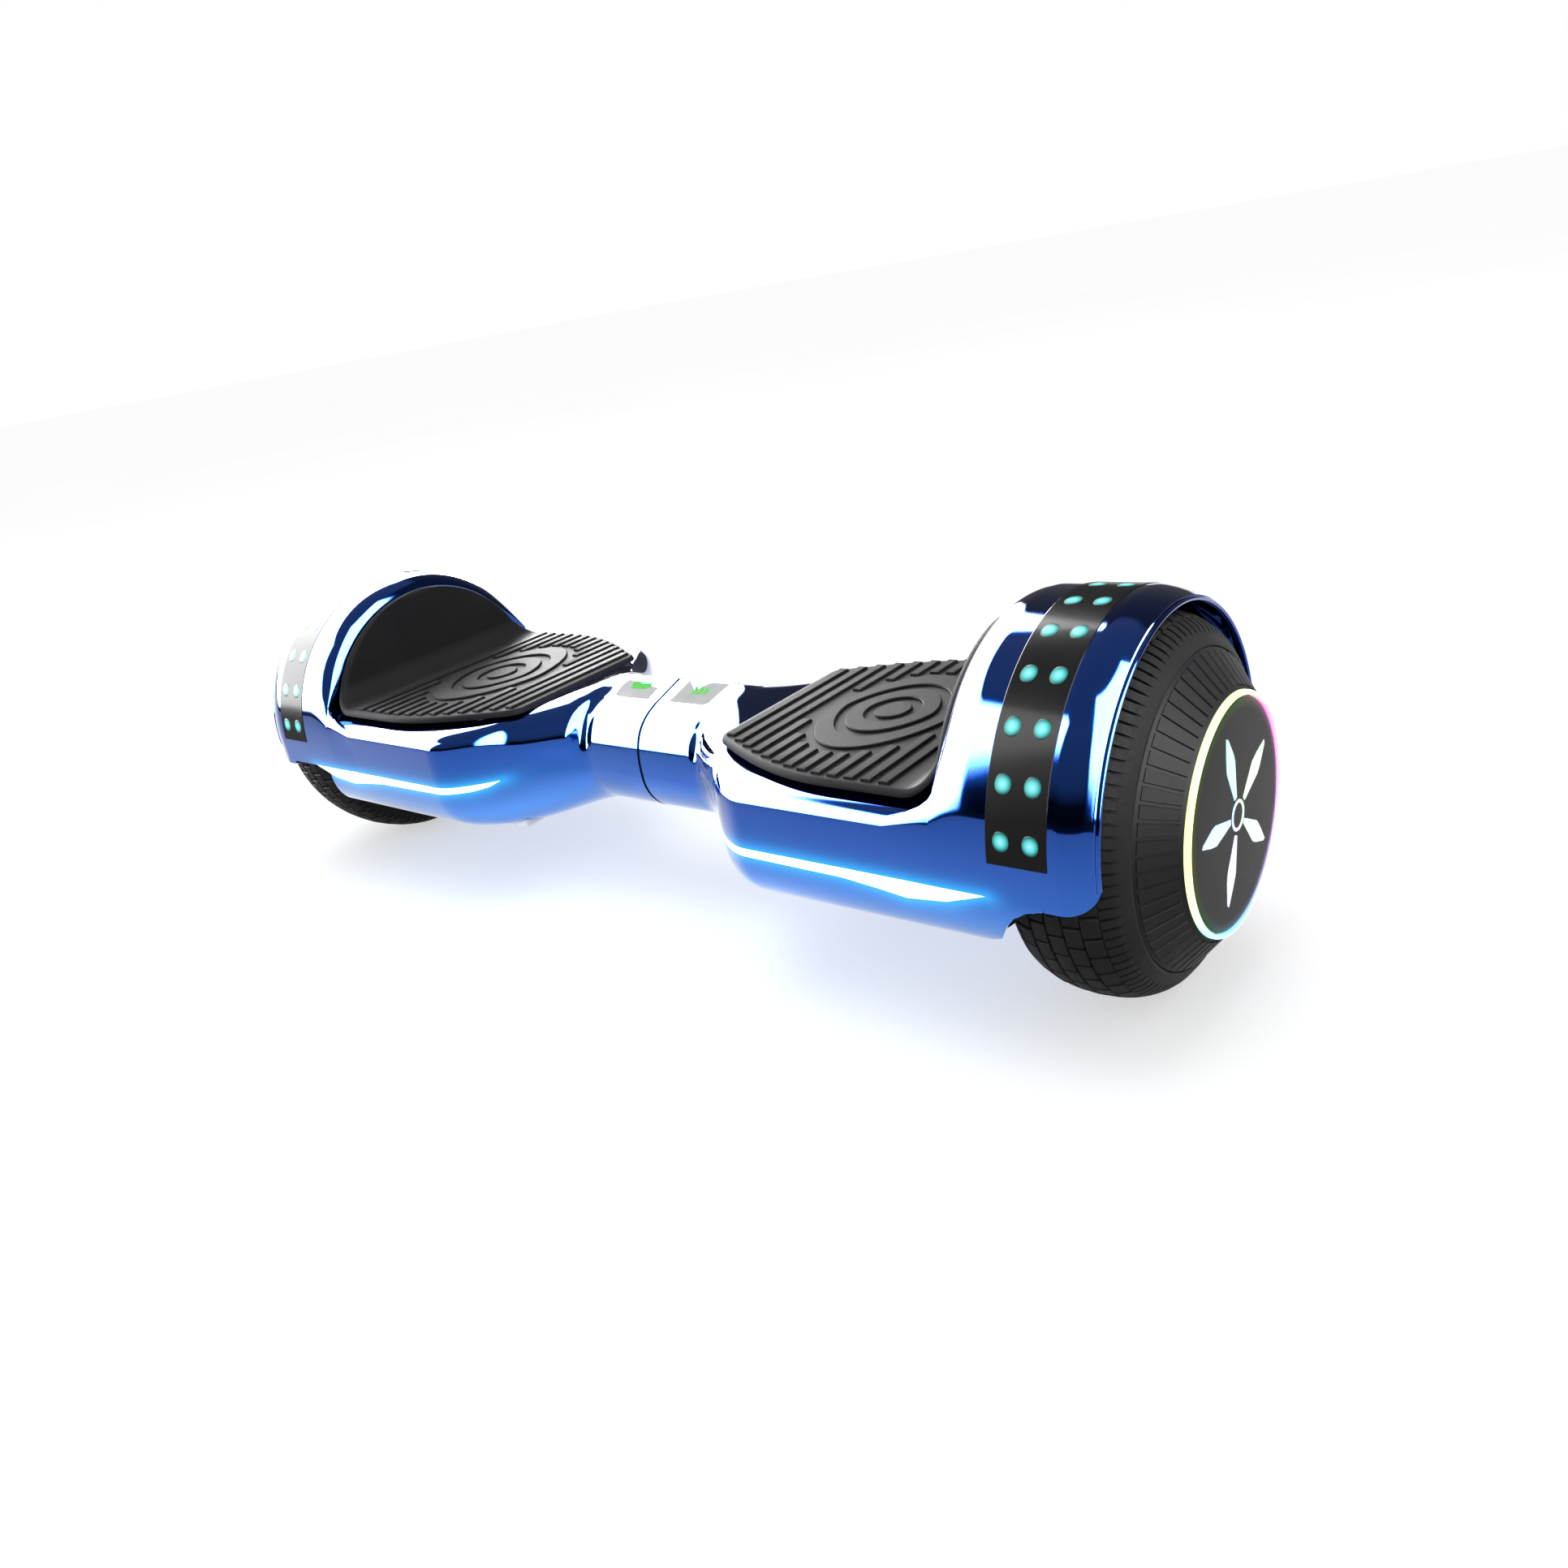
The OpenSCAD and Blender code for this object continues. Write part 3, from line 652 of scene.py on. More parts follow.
def lens_edges(x):
    """Upper and lower edge heights of the headlight at x, in millimetres."""
    upper = SEAM_Z / MM - 0.2
    tall = np.interp(x, [LENS_IN, 92, 100, 130, 178, 196, 212, 232, LENS_OUT],
                     [0.3, 2.7, 3.9, 4.3, 4.9, 6.7, 8.7, 6.5, 0.3])
    return upper, upper - tall


def top_shell():
    rows = top_shell_rows()
    verts = np.concatenate(rows)
    faces = [f[::-1] for f in grid_faces(len(rows), SECTION_POINTS)]
    piece = thicken(new_piece("right_top_shell_skin", verts, faces, PAINT), SHELL_T)
    sharp_by_angle(piece, 42)
    glow_near_headlight(piece)
    both_sides(piece, "half", "blue_shell", "top_shell")


# ---- Lower shell ----

def belly_outline(x, count=FINE_POINTS):
    """The lower shell's outline at x, from the front seam under to the rear seam."""
    full = step(FLARE_START, 100 * MM, x)
    half = plan_half(x)
    depth = mix(SEAM_Z - (AXLE_Z - HUB_R), SEAM_Z - BELLY_Z, full)
    power = mix(2.1, 3.1, full)
    t = np.linspace(0, math.pi, FINE_POINTS)
    y = -half * np.sign(np.cos(t)) * np.abs(np.cos(t)) ** (2 / power)
    z = SEAM_Z - depth * np.sin(t) ** (2 / power)
    return even(list(zip(y, z)), count)


def bottom_shell():
    cols = 141
    xs = np.r_[np.linspace(JOINT_X, 38 * MM, 12), np.linspace(40 * MM, 62 * MM, 20),
               np.linspace(64 * MM, 130 * MM, 36), np.linspace(134 * MM, WELL_X, 24)]
    verts = np.concatenate([station(x, belly_outline(x, cols)) for x in xs])
    body = thicken(new_piece("belly", verts, grid_faces(len(xs), cols), PAINT), SHELL_T)
    wall = well_wall(belly_outline(WELL_X, cols))
    piece = join("right_bottom_shell_skin", [body, apron(-1), apron(1), wall])
    sharp_by_angle(piece, 42)
    glow_near_headlight(piece)
    left = both_sides(piece, "half", "blue_shell", "bottom_shell")[1]
    low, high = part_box("charge_port")
    round_hole(left, ((low[0] + high[0]) / 2, high[1], (low[2] + high[2]) / 2), 8.8 * MM)


def round_hole(piece, centre, radius, steps=64):
    """Cuts a round hole along Y through the nearby wall of a piece."""
    x, y, z = centre
    turns = [2 * math.pi * k / steps for k in range(steps)]
    layers = [[(x + radius * math.cos(a), y + depth, z + radius * math.sin(a)) for a in turns]
              for depth in (-6 * MM, 14 * MM)]
    cutter = stacked("cutter", layers, PAINT)
    cut = piece.modifiers.new("hole", "BOOLEAN")
    cut.operation, cut.solver, cut.object = "DIFFERENCE", "EXACT", cutter
    bpy.context.view_layer.update()
    result = plain_copy(piece, "holed")
    piece.modifiers.clear()
    piece.data = result.data
    drop(result, cutter)


def joint_seal():
    """The dark seal that fills the gap between the halves, a little below their surface."""
    top, low = deck_outline(JOINT_X), belly_outline(JOINT_X, SECTION_POINTS)
    loop = np.concatenate([top[:-1], low[::-1][:-1]])
    centre = np.array([0.0, AXLE_Z])
    half, outer, inner = 0.96 * MM, 0.972, 0.86
    rings = [station(x, centre + (loop - centre) * share)
             for x, share in ((-half, outer), (half, outer), (half, inner), (-half, inner))]
    faces = grid_faces(len(rings), len(loop), wrap_rows=True, wrap_cols=True)
    seal = sharp_by_angle(outward(new_piece("seal_ring", np.concatenate(rings), faces, SEAL)), 40)
    fit(seal, "left_half", "seal_rubber", "joint_seal")


def apron_low(x):
    """Lower edge of the apron that runs past the wheel well to the seam's end."""
    xs = np.array([238, 247, 254, 256, 259, 263, 269, APRON_END / MM]) * MM
    zs = SEAM_Z + np.array([-29.5, -26.1, -22.5, -19.5, -14, -9, -5, -2.9]) * MM
    return np.interp(x, xs, zs)


def apron(side):
    """The front or rear wall of the lower shell beside the wheel."""
    xs = np.linspace(WELL_X, APRON_END, 44)
    count = 40
    rows = []
    for x in xs:
        outline = belly_outline(x)[::-side]
        outline = outline[(outline[:, 0] * side > 0) & (outline[:, 1] >= apron_low(x))]
        rows.append(station(x, even(outline, count)))
    faces = [f[::-side] for f in grid_faces(len(rows), count)]
    return thicken(new_piece("apron", np.concatenate(rows), faces, PAINT), 2.4 * MM)


def well_wall(outline):
    """The flat wall that closes the lower shell towards the wheel."""
    inner = outline * [0.97, 1.0]
    inner[:, 1] = np.maximum(inner[:, 1], outline[:, 1].min() + 0.8 * MM)
    return stacked("well_wall", [station(WELL_X - depth, inner) for depth in (0.4 * MM, 2.4 * MM)], PAINT)


def join(name, parts):
    """One object from several, with their materials kept."""
    bm = bmesh.new()
    materials = []
    for part in parts:
        own = list(part.data.materials)
        materials += [material for material in own if material not in materials]
        start = len(bm.faces)
        bm.from_mesh(part.data)
        bm.faces.ensure_lookup_table()
        for face in bm.faces[start:]:
            face.material_index = materials.index(own[face.material_index])
    mesh = bpy.data.meshes.new(name)
    bm.to_mesh(mesh)
    bm.free()
    for material in materials:
        mesh.materials.append(material)
    drop(*parts)
    result = bpy.data.objects.new(name, mesh)
    bpy.context.scene.collection.objects.link(result)
    return result


# ---- Lights on the shell ----

def headlight():
    """The long lens let into the front face just below the seam."""
    xs = np.r_[np.linspace(LENS_IN, 130, 50), np.linspace(132, 180, 16), np.linspace(182, LENS_OUT, 48)]
    cols = 9
    proud = 0.25 * MM
    verts, rim = [], []
    for x in xs:
        upper, lower = lens_edges(x)
        outline = belly_outline(x * MM)
        outline = outline[outline[:, 0] < 0]
        near_end = max(1 - (x - LENS_IN) / 5, 1 - (LENS_OUT - x) / 9, 0)
        for s in np.linspace(0, 1, cols):
            across = abs(2 * s - 1)
            z = mix(upper, lower, s) * MM
            y = np.interp(z, outline[::-1, 1], outline[::-1, 0])
            verts.append((x * MM, y - proud * (1 - across ** 4), z))
            rim.append(min(1, max(across ** 2, near_end)))
    piece = new_piece("right_headlight", verts, grid_faces(len(xs), cols), HEADLIGHT)
    write_attribute(piece, "rim", rim)
    both_sides(thicken(piece, 1.2 * MM), "half", "white_light", "headlight_lens")


def strip_band():
    """The smoked band over the fender, with a small chamfer along each edge."""
    x0, x1 = strip_lo[0], strip_hi[0]
    chamfer, end, root = 0.3 * MM, 3.0, -0.4
    section = [(x0, root), (x0, 0.10), (x0 + chamfer, 0.28), (x1 - chamfer, 0.28), (x1, 0.10), (x1, root)]
    layers = []
    for a in np.radians(np.linspace(end, 180 - end, 150)):
        radii = [(x, SHELL_R + high * MM) for x, high in section]
        layers.append([(x, -r * math.cos(a), FENDER_Z + r * math.sin(a)) for x, r in radii])
    piece = sharp_by_angle(stacked("right_strip", layers, STRIP), 30)
    both_sides(piece, "half", "smoked_strip", "fender_strip")


def turning_tree(name, material):
    """Geometry nodes that repeat a piece about the axle direction, at a height."""
    tree = bpy.data.node_groups.new(name, "GeometryNodeTree")
    face = tree.interface
    face.new_socket("Piece", in_out="INPUT", socket_type="NodeSocketObject")
    for label, kind in (("Count", "NodeSocketInt"), ("First Angle", "NodeSocketFloat"),
                        ("Step Angle", "NodeSocketFloat"), ("Height", "NodeSocketFloat")):
        face.new_socket(label, in_out="INPUT", socket_type=kind)
    face.new_socket("Geometry", in_out="OUTPUT", socket_type="NodeSocketGeometry")
    add = tree.nodes.new
    link = tree.links.new
    given = add("NodeGroupInput")
    result = add("NodeGroupOutput")
    points = add("GeometryNodePoints")
    place = add("ShaderNodeCombineXYZ")
    link(given.outputs["Count"], points.inputs["Count"])
    link(given.outputs["Height"], place.inputs["Z"])
    link(place.outputs[0], points.inputs["Position"])
    index = add("GeometryNodeInputIndex")
    turn = add("ShaderNodeMath")
    turn.operation = "MULTIPLY_ADD"
    link(index.outputs[0], turn.inputs[0])
    link(given.outputs["Step Angle"], turn.inputs[1])
    link(given.outputs["First Angle"], turn.inputs[2])
    angles = add("ShaderNodeCombineXYZ")
    link(turn.outputs[0], angles.inputs["X"])
    source = add("GeometryNodeObjectInfo")
    link(given.outputs["Piece"], source.inputs["Object"])
    copies = add("GeometryNodeInstanceOnPoints")
    link(points.outputs[0], copies.inputs["Points"])
    link(source.outputs["Geometry"], copies.inputs["Instance"])
    link(angles.outputs[0], copies.inputs["Rotation"])
    real = add("GeometryNodeRealizeInstances")
    finish = add("GeometryNodeSetMaterial")
    finish.inputs["Material"].default_value = material
    link(copies.outputs[0], real.inputs[0])
    link(real.outputs[0], finish.inputs["Geometry"])
    link(finish.outputs[0], result.inputs[0])
    return tree


def repeat_around(name, part, count, first, step_angle, height=AXLE_Z):
    """Runs the turning tree on a part that is modelled about the origin, and returns a plain mesh."""
    tree = turning_tree(name + "_layout", part.data.materials[0])
    holder = bpy.data.objects.new(name + "_holder", bpy.data.meshes.new(name + "_holder"))
    bpy.context.scene.collection.objects.link(holder)
    layout = holder.modifiers.new("layout", "NODES")
    layout.node_group = tree
    values = {"Piece": part, "Count": count, "First Angle": first, "Step Angle": step_angle,
              "Height": height}
    for item in tree.interface.items_tree:
        if item.in_out == "INPUT":
            layout[item.identifier] = values[item.name]
    bpy.context.view_layer.update()
    piece = plain_copy(holder, name)
    drop(holder, part)
    return piece


def led_dome(x):
    """One round light on top of the fender, about the fender's axis."""
    radius, height, root, rings, steps = 4.3 * MM, 0.28 * MM, 0.6 * MM, 8, 24
    base = SHELL_R + 0.2 * MM
    levels = [(s, base + height * (1 - s * s)) for s in np.linspace(0, 1, rings + 1)[1:]]
    levels.append((1.0, base - root))
    verts, rim = [(x, 0, base + height)], [0.0]
    for s, z in levels:
        for k in range(steps):
            a = 2 * math.pi * k / steps
            verts.append((x + radius * s * math.cos(a), radius * s * math.sin(a), z))
            rim.append(s)
    faces = [(0, 1 + k, 1 + (k + 1) % steps) for k in range(steps)]
    faces += [tuple(1 + i for i in f) for f in grid_faces(len(levels), steps, wrap_cols=True)]
    faces.append(tuple(range(len(verts) - steps, len(verts)))[::-1])
    piece = outward(new_piece("led_dome", verts, faces, LED))
    write_attribute(piece, "rim", rim)
    return piece


LED_ROWS = 12
LED_FIRST = 9.4         # degrees up from the level to the first row
LED_X = (261 * MM, 274 * MM)


def strip_leds():
    first = math.radians(90 - LED_FIRST)
    gap = -math.radians(180 - 2 * LED_FIRST) / (LED_ROWS - 1)
    parts = [repeat_around(f"leds_{i}", led_dome(x), LED_ROWS, first, gap, FENDER_Z)
             for i, x in enumerate(LED_X)]
    both_sides(join("right_leds", parts), "half", "cyan_light", "strip_leds")


def panel(name, outline, z0, z1, material, bevel=0.0):
    """A flat plate with an outline of (x, y) points, and a bevelled upper edge if asked."""
    flat = np.array(outline)
    layers = [np.c_[flat, np.full(len(flat), z)] for z in ((z0, z1 - bevel) if bevel else (z0, z1))]
    if bevel:
        pull = flat.mean(axis=0) - flat
        pull *= bevel / np.hypot(*pull.T)[:, None]
        layers.append(np.c_[flat + pull, np.full(len(flat), z1)])
    return sharp_by_angle(stacked(name, layers, material), 30)


def rounded(points, radii, steps=6):
    """A closed outline with its corners rounded."""
    out = []
    count = len(points)
    for i, (corner, radius) in enumerate(zip(points, radii)):
        corner = Vector(corner)
        before = (Vector(points[i - 1]) - corner).normalized()
        after = (Vector(points[(i + 1) % count]) - corner).normalized()
        if radius <= 0:
            out.append(tuple(corner))
            continue
        half = before.angle(after) / 2
        reach = radius / math.tan(half)
        start, end = corner + before * reach, corner + after * reach
        for k in range(steps + 1):
            t = k / steps
            out.append(tuple(start.lerp(corner, t).lerp(corner.lerp(end, t), t)))
    return out


def indicator_windows():
    x0, x1 = window_lo[0], window_hi[0]
    y0, y1 = window_lo[1], ROOF_RIDGE + 1.0 * MM
    corners = [(x0, y0), (x1 - 3 * MM, y0), (x1, y1), (x0, y1)]
    outline = rounded(corners, [0.6 * MM, 6 * MM, 1 * MM, 0.6 * MM])
    centre = np.array([(x0 + x1) / 2, (y0 + y1) / 2])
    wider = centre + (np.array(outline) - centre) * [1.035, 1.05]
    window = panel("right_window", outline, -0.9 * MM, 0.1 * MM, WINDOW, 0.2 * MM)
    border = panel("right_window_border", wider, -1.0 * MM, 0.0, DARK)
    both_sides(on_roof(window), "half", "window_panel", "indicator_window")
    both_sides(on_roof(border), "half", "port_plastic", None)
    battery_icon(-mix(x0, x1, 0.48), mix(y0, y1, 0.55))
    chevron_icon(mix(x0, x1, 0.46), mix(y0, y1, 0.55))


def on_roof(piece):
    """Lays a flat piece, modelled with its zero height on the roof, on the leaning roof."""
    at = vertex_places(piece)
    at[:, 2] += RIDGE_Z + 0.04 * MM + ROOF_RISE * np.minimum(0, at[:, 1] - ROOF_RIDGE)
    piece.data.vertices.foreach_set("co", at.ravel())
    piece.data.update()
    return piece


ICON_LOW, ICON_HIGH = 0.08 * MM, 0.20 * MM      # the lit signs' heights over the window's middle plane


def battery_icon(x, y):
    """Four cells in a battery outline, lit green."""
    w, h, line = 6.6, 3.1, 0.6      # half length, half depth and line width, in millimetres
    bars = [(-w, w, h - line, h), (-w, w, -h, line - h), (-w, line - w, -h, h), (w - line, w, -h, h),
            (w + 0.2, w + 1.2, -h * 0.4, h * 0.4)]
    for i in range(4):
        start = -w + 1.1 + i * 2.9
        bars.append((start, start + 2.2, 1.2 - h, h - 1.2))
    parts = []
    for x0, x1, y0, y1 in bars:
        outline = rounded([(x0, y0), (x1, y0), (x1, y1), (x0, y1)], [0.25] * 4, 3)
        parts.append(panel("bar", [(x + a * MM, y + b * MM) for a, b in outline], ICON_LOW, ICON_HIGH, GREEN))
    fit(on_roof(join("left_battery_icon", parts)), "left_half", "cyan_light")


def chevron_icon(x, y):
    """Three chevrons, lit green."""
    chevron = [(-1.4, -3), (0.5, -3), (2.2, 0), (0.5, 3), (-1.4, 3), (0.3, 0)]
    parts = []
    for shift in (-4.2, 0, 4.2):
        outline = [(x + (a + shift) * MM, y + b * MM) for a, b in chevron]
        parts.append(panel("chevron", outline, ICON_LOW, ICON_HIGH, GREEN))
    fit(on_roof(join("right_chevron_icon", parts)), "right_half", "cyan_light")


# ---- Foot pad ----

PAD_IN = pad_lo[0]
PAD_OUT = pad_hi[0] - 3.5 * MM
PAD_HALF = (pad_hi[1] - pad_lo[1]) / 2
PAD_FLOOR = pad_lo[2] + 3.2 * MM
PAD_TOP = PAD_FLOOR + 1.5 * MM      # top of the ribs
PAD_ROOT = PAD_FLOOR - 0.3 * MM     # the ribs and the motif start a little inside the mat
FLAP_R = 81.3 * MM
SWEEP_R = 13 * MM
MAT_T = 3.2 * MM
MAT_ROUND = 2.4 * MM


def pad_edge(x):
    """Half depth of the mat at x, with a rounded corner at its inner edge."""
    t = np.clip((x - PAD_IN) / (90 * MM), 0, 1)
    edge = mix(50 * MM, PAD_HALF, np.sin(t * math.pi / 2))
    corner = 6 * MM
    into = np.clip((PAD_IN + corner - x) / corner, 0, 1)
    return edge - corner * (1 - np.sqrt(1 - into ** 2))


def pad_path():
    """Stations (x, z, lean) of the mat's upper face: along the deck, round the sweep and up the flap."""
    level = np.r_[PAD_IN + np.array([0, 0.2, 0.7, 1.6, 3, 4.5, 6]) * MM,
                  np.linspace(PAD_IN + 9 * MM, PAD_OUT - SWEEP_R, 34)]
    stations = [(x, PAD_FLOOR, 0.0) for x in level]
    for a in np.radians(np.linspace(6, 84, 14)):
        x, z = PAD_OUT - SWEEP_R * (1 - math.sin(a)), PAD_FLOOR + SWEEP_R * (1 - math.cos(a))
        stations.append((x, z, a))
    top = FENDER_Z + FLAP_R - 0.05 * MM
    for t in np.linspace(0, 1, 40):
        stations.append((PAD_OUT, mix(PAD_FLOOR + SWEEP_R, top, math.sin(t * math.pi / 2)), math.pi / 2))
    return stations


def pad_width(x, z, lean):
    flap = math.sqrt(max(FLAP_R ** 2 - (z - FENDER_Z) ** 2, (0.6 * MM) ** 2))
    return float(mix(pad_edge(x), flap, step(0, 1, lean / (math.pi / 2))))


def mat_section(width, roll):
    """The mat's upper face from front to rear, as (y, height) points with rolled ends."""
    ends = [(1.0, 1.0), (0.62, 0.38), (0.3, 0.12), (0.0, 0.0)]
    front = [(-(width - roll + roll * out), -roll * fall) for out, fall in ends]
    flat = [((width - roll) * v, 0.0) for v in np.linspace(-1, 1, 61)[1:-1]]
    return front + flat + [(-y, h) for y, h in front[::-1]]


def rolled_off(inwards):
    """Fall of the mat's face near an edge, at a distance inwards from it."""
    share = 1 - min(1.0, max(0.0, inwards / MAT_ROUND))
    return -(1 - math.sqrt(1 - share ** 2)) * MAT_ROUND


def mat():
    """The rubber sheet: its upper face, its lower face and the wall round them."""
    stations = pad_path()
    upper, lower = [], []
    for x, z, lean in stations:
        width = pad_width(x, z, lean)
        fall = rolled_off(x - PAD_IN)
        if lean == math.pi / 2:
            fall += rolled_off(FENDER_Z + FLAP_R - z)
        normal = np.array([-math.sin(lean), 0, math.cos(lean)])
        for y, low in mat_section(width, min(MAT_ROUND, width * 0.45)):
            face = np.array([x, y, z])
            base = face - normal * MAT_T
            base[0] = min(base[0], pad_hi[0])
            upper.append(face + normal * max(low + fall, 0.4 * MM - MAT_T))
            lower.append(base)
    count = len(upper)
    rows, cols = len(stations), count // len(stations)
    grid = grid_faces(rows, cols)
    faces = [f[::-1] for f in grid] + [tuple(count + i for i in f) for f in grid]
    index = np.arange(count).reshape(rows, cols)
    border = np.r_[index[0], index[1:, -1], index[-1, -2::-1], index[-2:0:-1, 0]].tolist()
    faces += [(a, b, count + b, count + a) for a, b in zip(border, border[1:] + border[:1])]
    return outward(new_piece("mat", upper + lower, faces, MAT_RUBBER))


def foot_pad():
    piece = sharp_by_angle(join("right_pad_mat", [mat(), *pad_ribs(), *pad_motif()]), 38)
    both_sides(piece, "pad", "black_rubber", "foot_pad")


RIBS = 13
PAD_BEVEL = 0.5 * MM
MOTIF_X = PAD_IN + 74 * MM
MOTIF_HALF = (36 * MM, 50 * MM)


def bevelled_bar(x0, x1, y0, y1, bevel):
    """A rib along Y with sloped sides and ends."""
    low = [(x0, y0), (x1, y0), (x1, y1), (x0, y1)]
    high = [(x0 + bevel, y0 + 2 * bevel), (x1 - bevel, y0 + 2 * bevel),
            (x1 - bevel, y1 - 2 * bevel), (x0 + bevel, y1 - 2 * bevel)]
    layers = [[(mix(a[0], b[0], inwards), mix(a[1], b[1], inwards), z) for a, b in zip(low, high)]
              for inwards, z in ((0, PAD_ROOT), (0.3, PAD_TOP - bevel * 0.6), (1, PAD_TOP))]
    return stacked("rib", layers, MAT_RUBBER)


def motif_half(x):
    """Half length of the clear patch round the motif at x, for cutting the ribs."""
    across, along = MOTIF_HALF
    into = 1 - ((x - MOTIF_X) / (across + 3.5 * MM)) ** 2
    return (along + 4.5 * MM) * math.sqrt(into) ** 1.25 if into > 0 else 0.0


def pad_ribs():
    start, end = PAD_IN + 6 * MM, PAD_OUT - SWEEP_R - 4 * MM
    pitch = (end - start) / RIBS
    bars = []
    for i in range(RIBS):
        x = start + pitch * i
        wide = pitch * 0.58
        half = float(pad_edge(x)) - 3.6 * MM
        gap = max(motif_half(x), motif_half(x + wide))
        spans = [(-half, -gap), (gap, half)] if gap > 2 * MM else [(-half, half)]
        for y0, y1 in spans:
            if y1 - y0 > 5 * MM:
                bars.append(bevelled_bar(x, x + wide, y0, y1, PAD_BEVEL))
    return bars


def leaf(width, length, power, steps=72):
    """A pointed oval about the motif's centre, as (x, y) points."""
    points = []
    for k in range(steps):
        a = 2 * math.pi * k / steps
        points.append((MOTIF_X + width * math.sin(a),
                       length * math.copysign(abs(math.cos(a)) ** power, math.cos(a))))
    return points


def raised_band(outer, inner):
    """A flat band between two outlines with the same number of points."""
    top = PAD_TOP + 0.02 * MM
    rings = []
    for outline, out in ((outer, 1), (inner, -1)):
        flat = np.array(outline)
        pull = np.array([MOTIF_X, 0.0]) - flat
        pull *= PAD_BEVEL * out / np.maximum(np.hypot(*pull.T)[:, None], 1e-6)
        levels = ((flat, PAD_ROOT), (flat, top - PAD_BEVEL), (flat + pull, top))
        rings.append([np.c_[ring, np.full(len(flat), z)] for ring, z in levels])
    layers = rings[0] + rings[1][::-1]
    faces = grid_faces(len(layers), len(outer), wrap_rows=True, wrap_cols=True)
    return outward(new_piece("band", np.concatenate(layers), faces, MAT_RUBBER))


def pad_motif():
    """A raised pointed oval with a smaller one inside, in a clear patch in the middle of the ribs."""
    def inset(across, along, power=1.3):
        return leaf(MOTIF_HALF[0] - across * MM, MOTIF_HALF[1] - along * MM, power)

    return [raised_band(inset(0, 0), inset(8, 14)), raised_band(inset(12.5, 21), inset(22, 33, 1.1)),
            panel("seed", inset(27, 39.5, 1.0), PAD_ROOT, PAD_TOP + 0.02 * MM, MAT_RUBBER, PAD_BEVEL)]


# ---- Wheel ----

TREAD_ROWS = 5
TREAD_COUNT = 46
LUG_COUNT = 100
GROOVE = 1.9

# The tyre's crowned outer line as (x, depth under the crown) in millimetres
CROWN = [(251, 13), (252.6, 9.0), (255.6, 5.6), (260, 3.0), (265, 1.35), (271, 0.35), (277, 0), (283, 0.25),
         (289, 1.1), (294, 2.7), (298.4, 5.0), (301.8, 7.8), (304.2, 11), (305, 13)]


def crown(x):
    """Radius of the tyre's outer surface at x, in millimetres."""
    xs, depth = zip(*CROWN)
    return AXLE_Z / MM - np.interp(x, xs, depth)


def tyre_profile():
    """(x, radius) of the rubber under the tread, once round the tyre's section."""
    under = [(x, crown(x) - GROOVE * float(step(252, 258, x)) * float(1 - step(300, 304, x)))
             for x in np.r_[251, 252.6, np.linspace(254.5, 302, 20), 304.2, 305]]
    return [(251, 62), *under, (305.9, 72.0), (306.2, 71.2), (306.2, 70.4), (300, 70.3), (300, 62)]


def tread_block(x0, x1, pitch):
    """One brick of the tread, about the origin with the axle along X."""
    half, bevel = pitch * 0.44, 0.45
    verts = []
    for level, grow in ((-GROOVE - 0.5, 0.3), (-bevel, 0.0), (0.0, -1.0)):
        for side in (-1, 1):
            for x in (x0 - grow * bevel, (x0 + x1) / 2, x1 + grow * bevel):
                r = (crown(x) + level) * MM
                a = side * (half + grow * bevel * MM / r)
                verts.append((x * MM, r * math.sin(a), r * math.cos(a)))
    faces = [(12, 13, 16, 15), (13, 14, 17, 16), (0, 3, 4, 1), (1, 4, 5, 2)]
    loop = [0, 1, 2, 5, 4, 3]
    for k in (0, 6):
        faces += [(k + a, k + b, k + 6 + b, k + 6 + a) for a, b in zip(loop, loop[1:] + loop[:1])]
    return outward(new_piece("brick", verts, faces, TYRE_RUBBER, smooth=False))


def shoulder_lug(pitch, outer):
    """One narrow lug that wraps over the tyre's shoulder."""
    xs = (296.4, 299.0, 301.8, 304.4) if outer else (258.4, 255.8, 253.4, 251.4)
    half = pitch * 0.37
    verts = []
    for side in (-1, 1):
        for level, grow in ((-2.3, 1.12), (0.0, 1.0)):
            for x in xs:
                r = (crown(x) + level) * MM
                a = side * half * grow
                verts.append((x * MM, r * math.sin(a), r * math.cos(a)))
    n = len(xs)
    faces = []
    for k in range(n - 1):
        faces += [(n + k, n + k + 1, 3 * n + k + 1, 3 * n + k), (k, k + 1, n + k + 1, n + k),
                  (2 * n + k, 2 * n + k + 1, 3 * n + k + 1, 3 * n + k), (k, k + 1, 2 * n + k + 1, 2 * n + k)]
    faces += [(0, n, 3 * n, 2 * n), (n - 1, 2 * n - 1, 4 * n - 1, 3 * n - 1)]
    return outward(new_piece("lug", verts, faces, TYRE_RUBBER, smooth=False))


def tyre():
    pitch = 2 * math.pi / TREAD_COUNT
    lug_pitch = 2 * math.pi / LUG_COUNT
    tread_in, tread_out, gap = 258.2, 296.2, 0.35
    width = (tread_out - tread_in) / TREAD_ROWS
    parts = [turned_piece("carcass", tyre_profile(), TYRE_RUBBER, 160)]
    for row in range(TREAD_ROWS):
        left = tread_in + row * width
        brick = tread_block(left + gap, left + width - gap, pitch)
        parts.append(repeat_around(f"tread_{row}", brick, TREAD_COUNT, pitch * (row % 2) / 2, pitch))
    for outer in (True, False):
        lug = shoulder_lug(lug_pitch, outer)
        parts.append(repeat_around(f"lugs_{outer}", lug, LUG_COUNT, 0.0, lug_pitch))
    both_sides(join("right_tyre_tread", parts), "wheel", "tyre_rubber", "tyre")


COVER_RIBS = 60


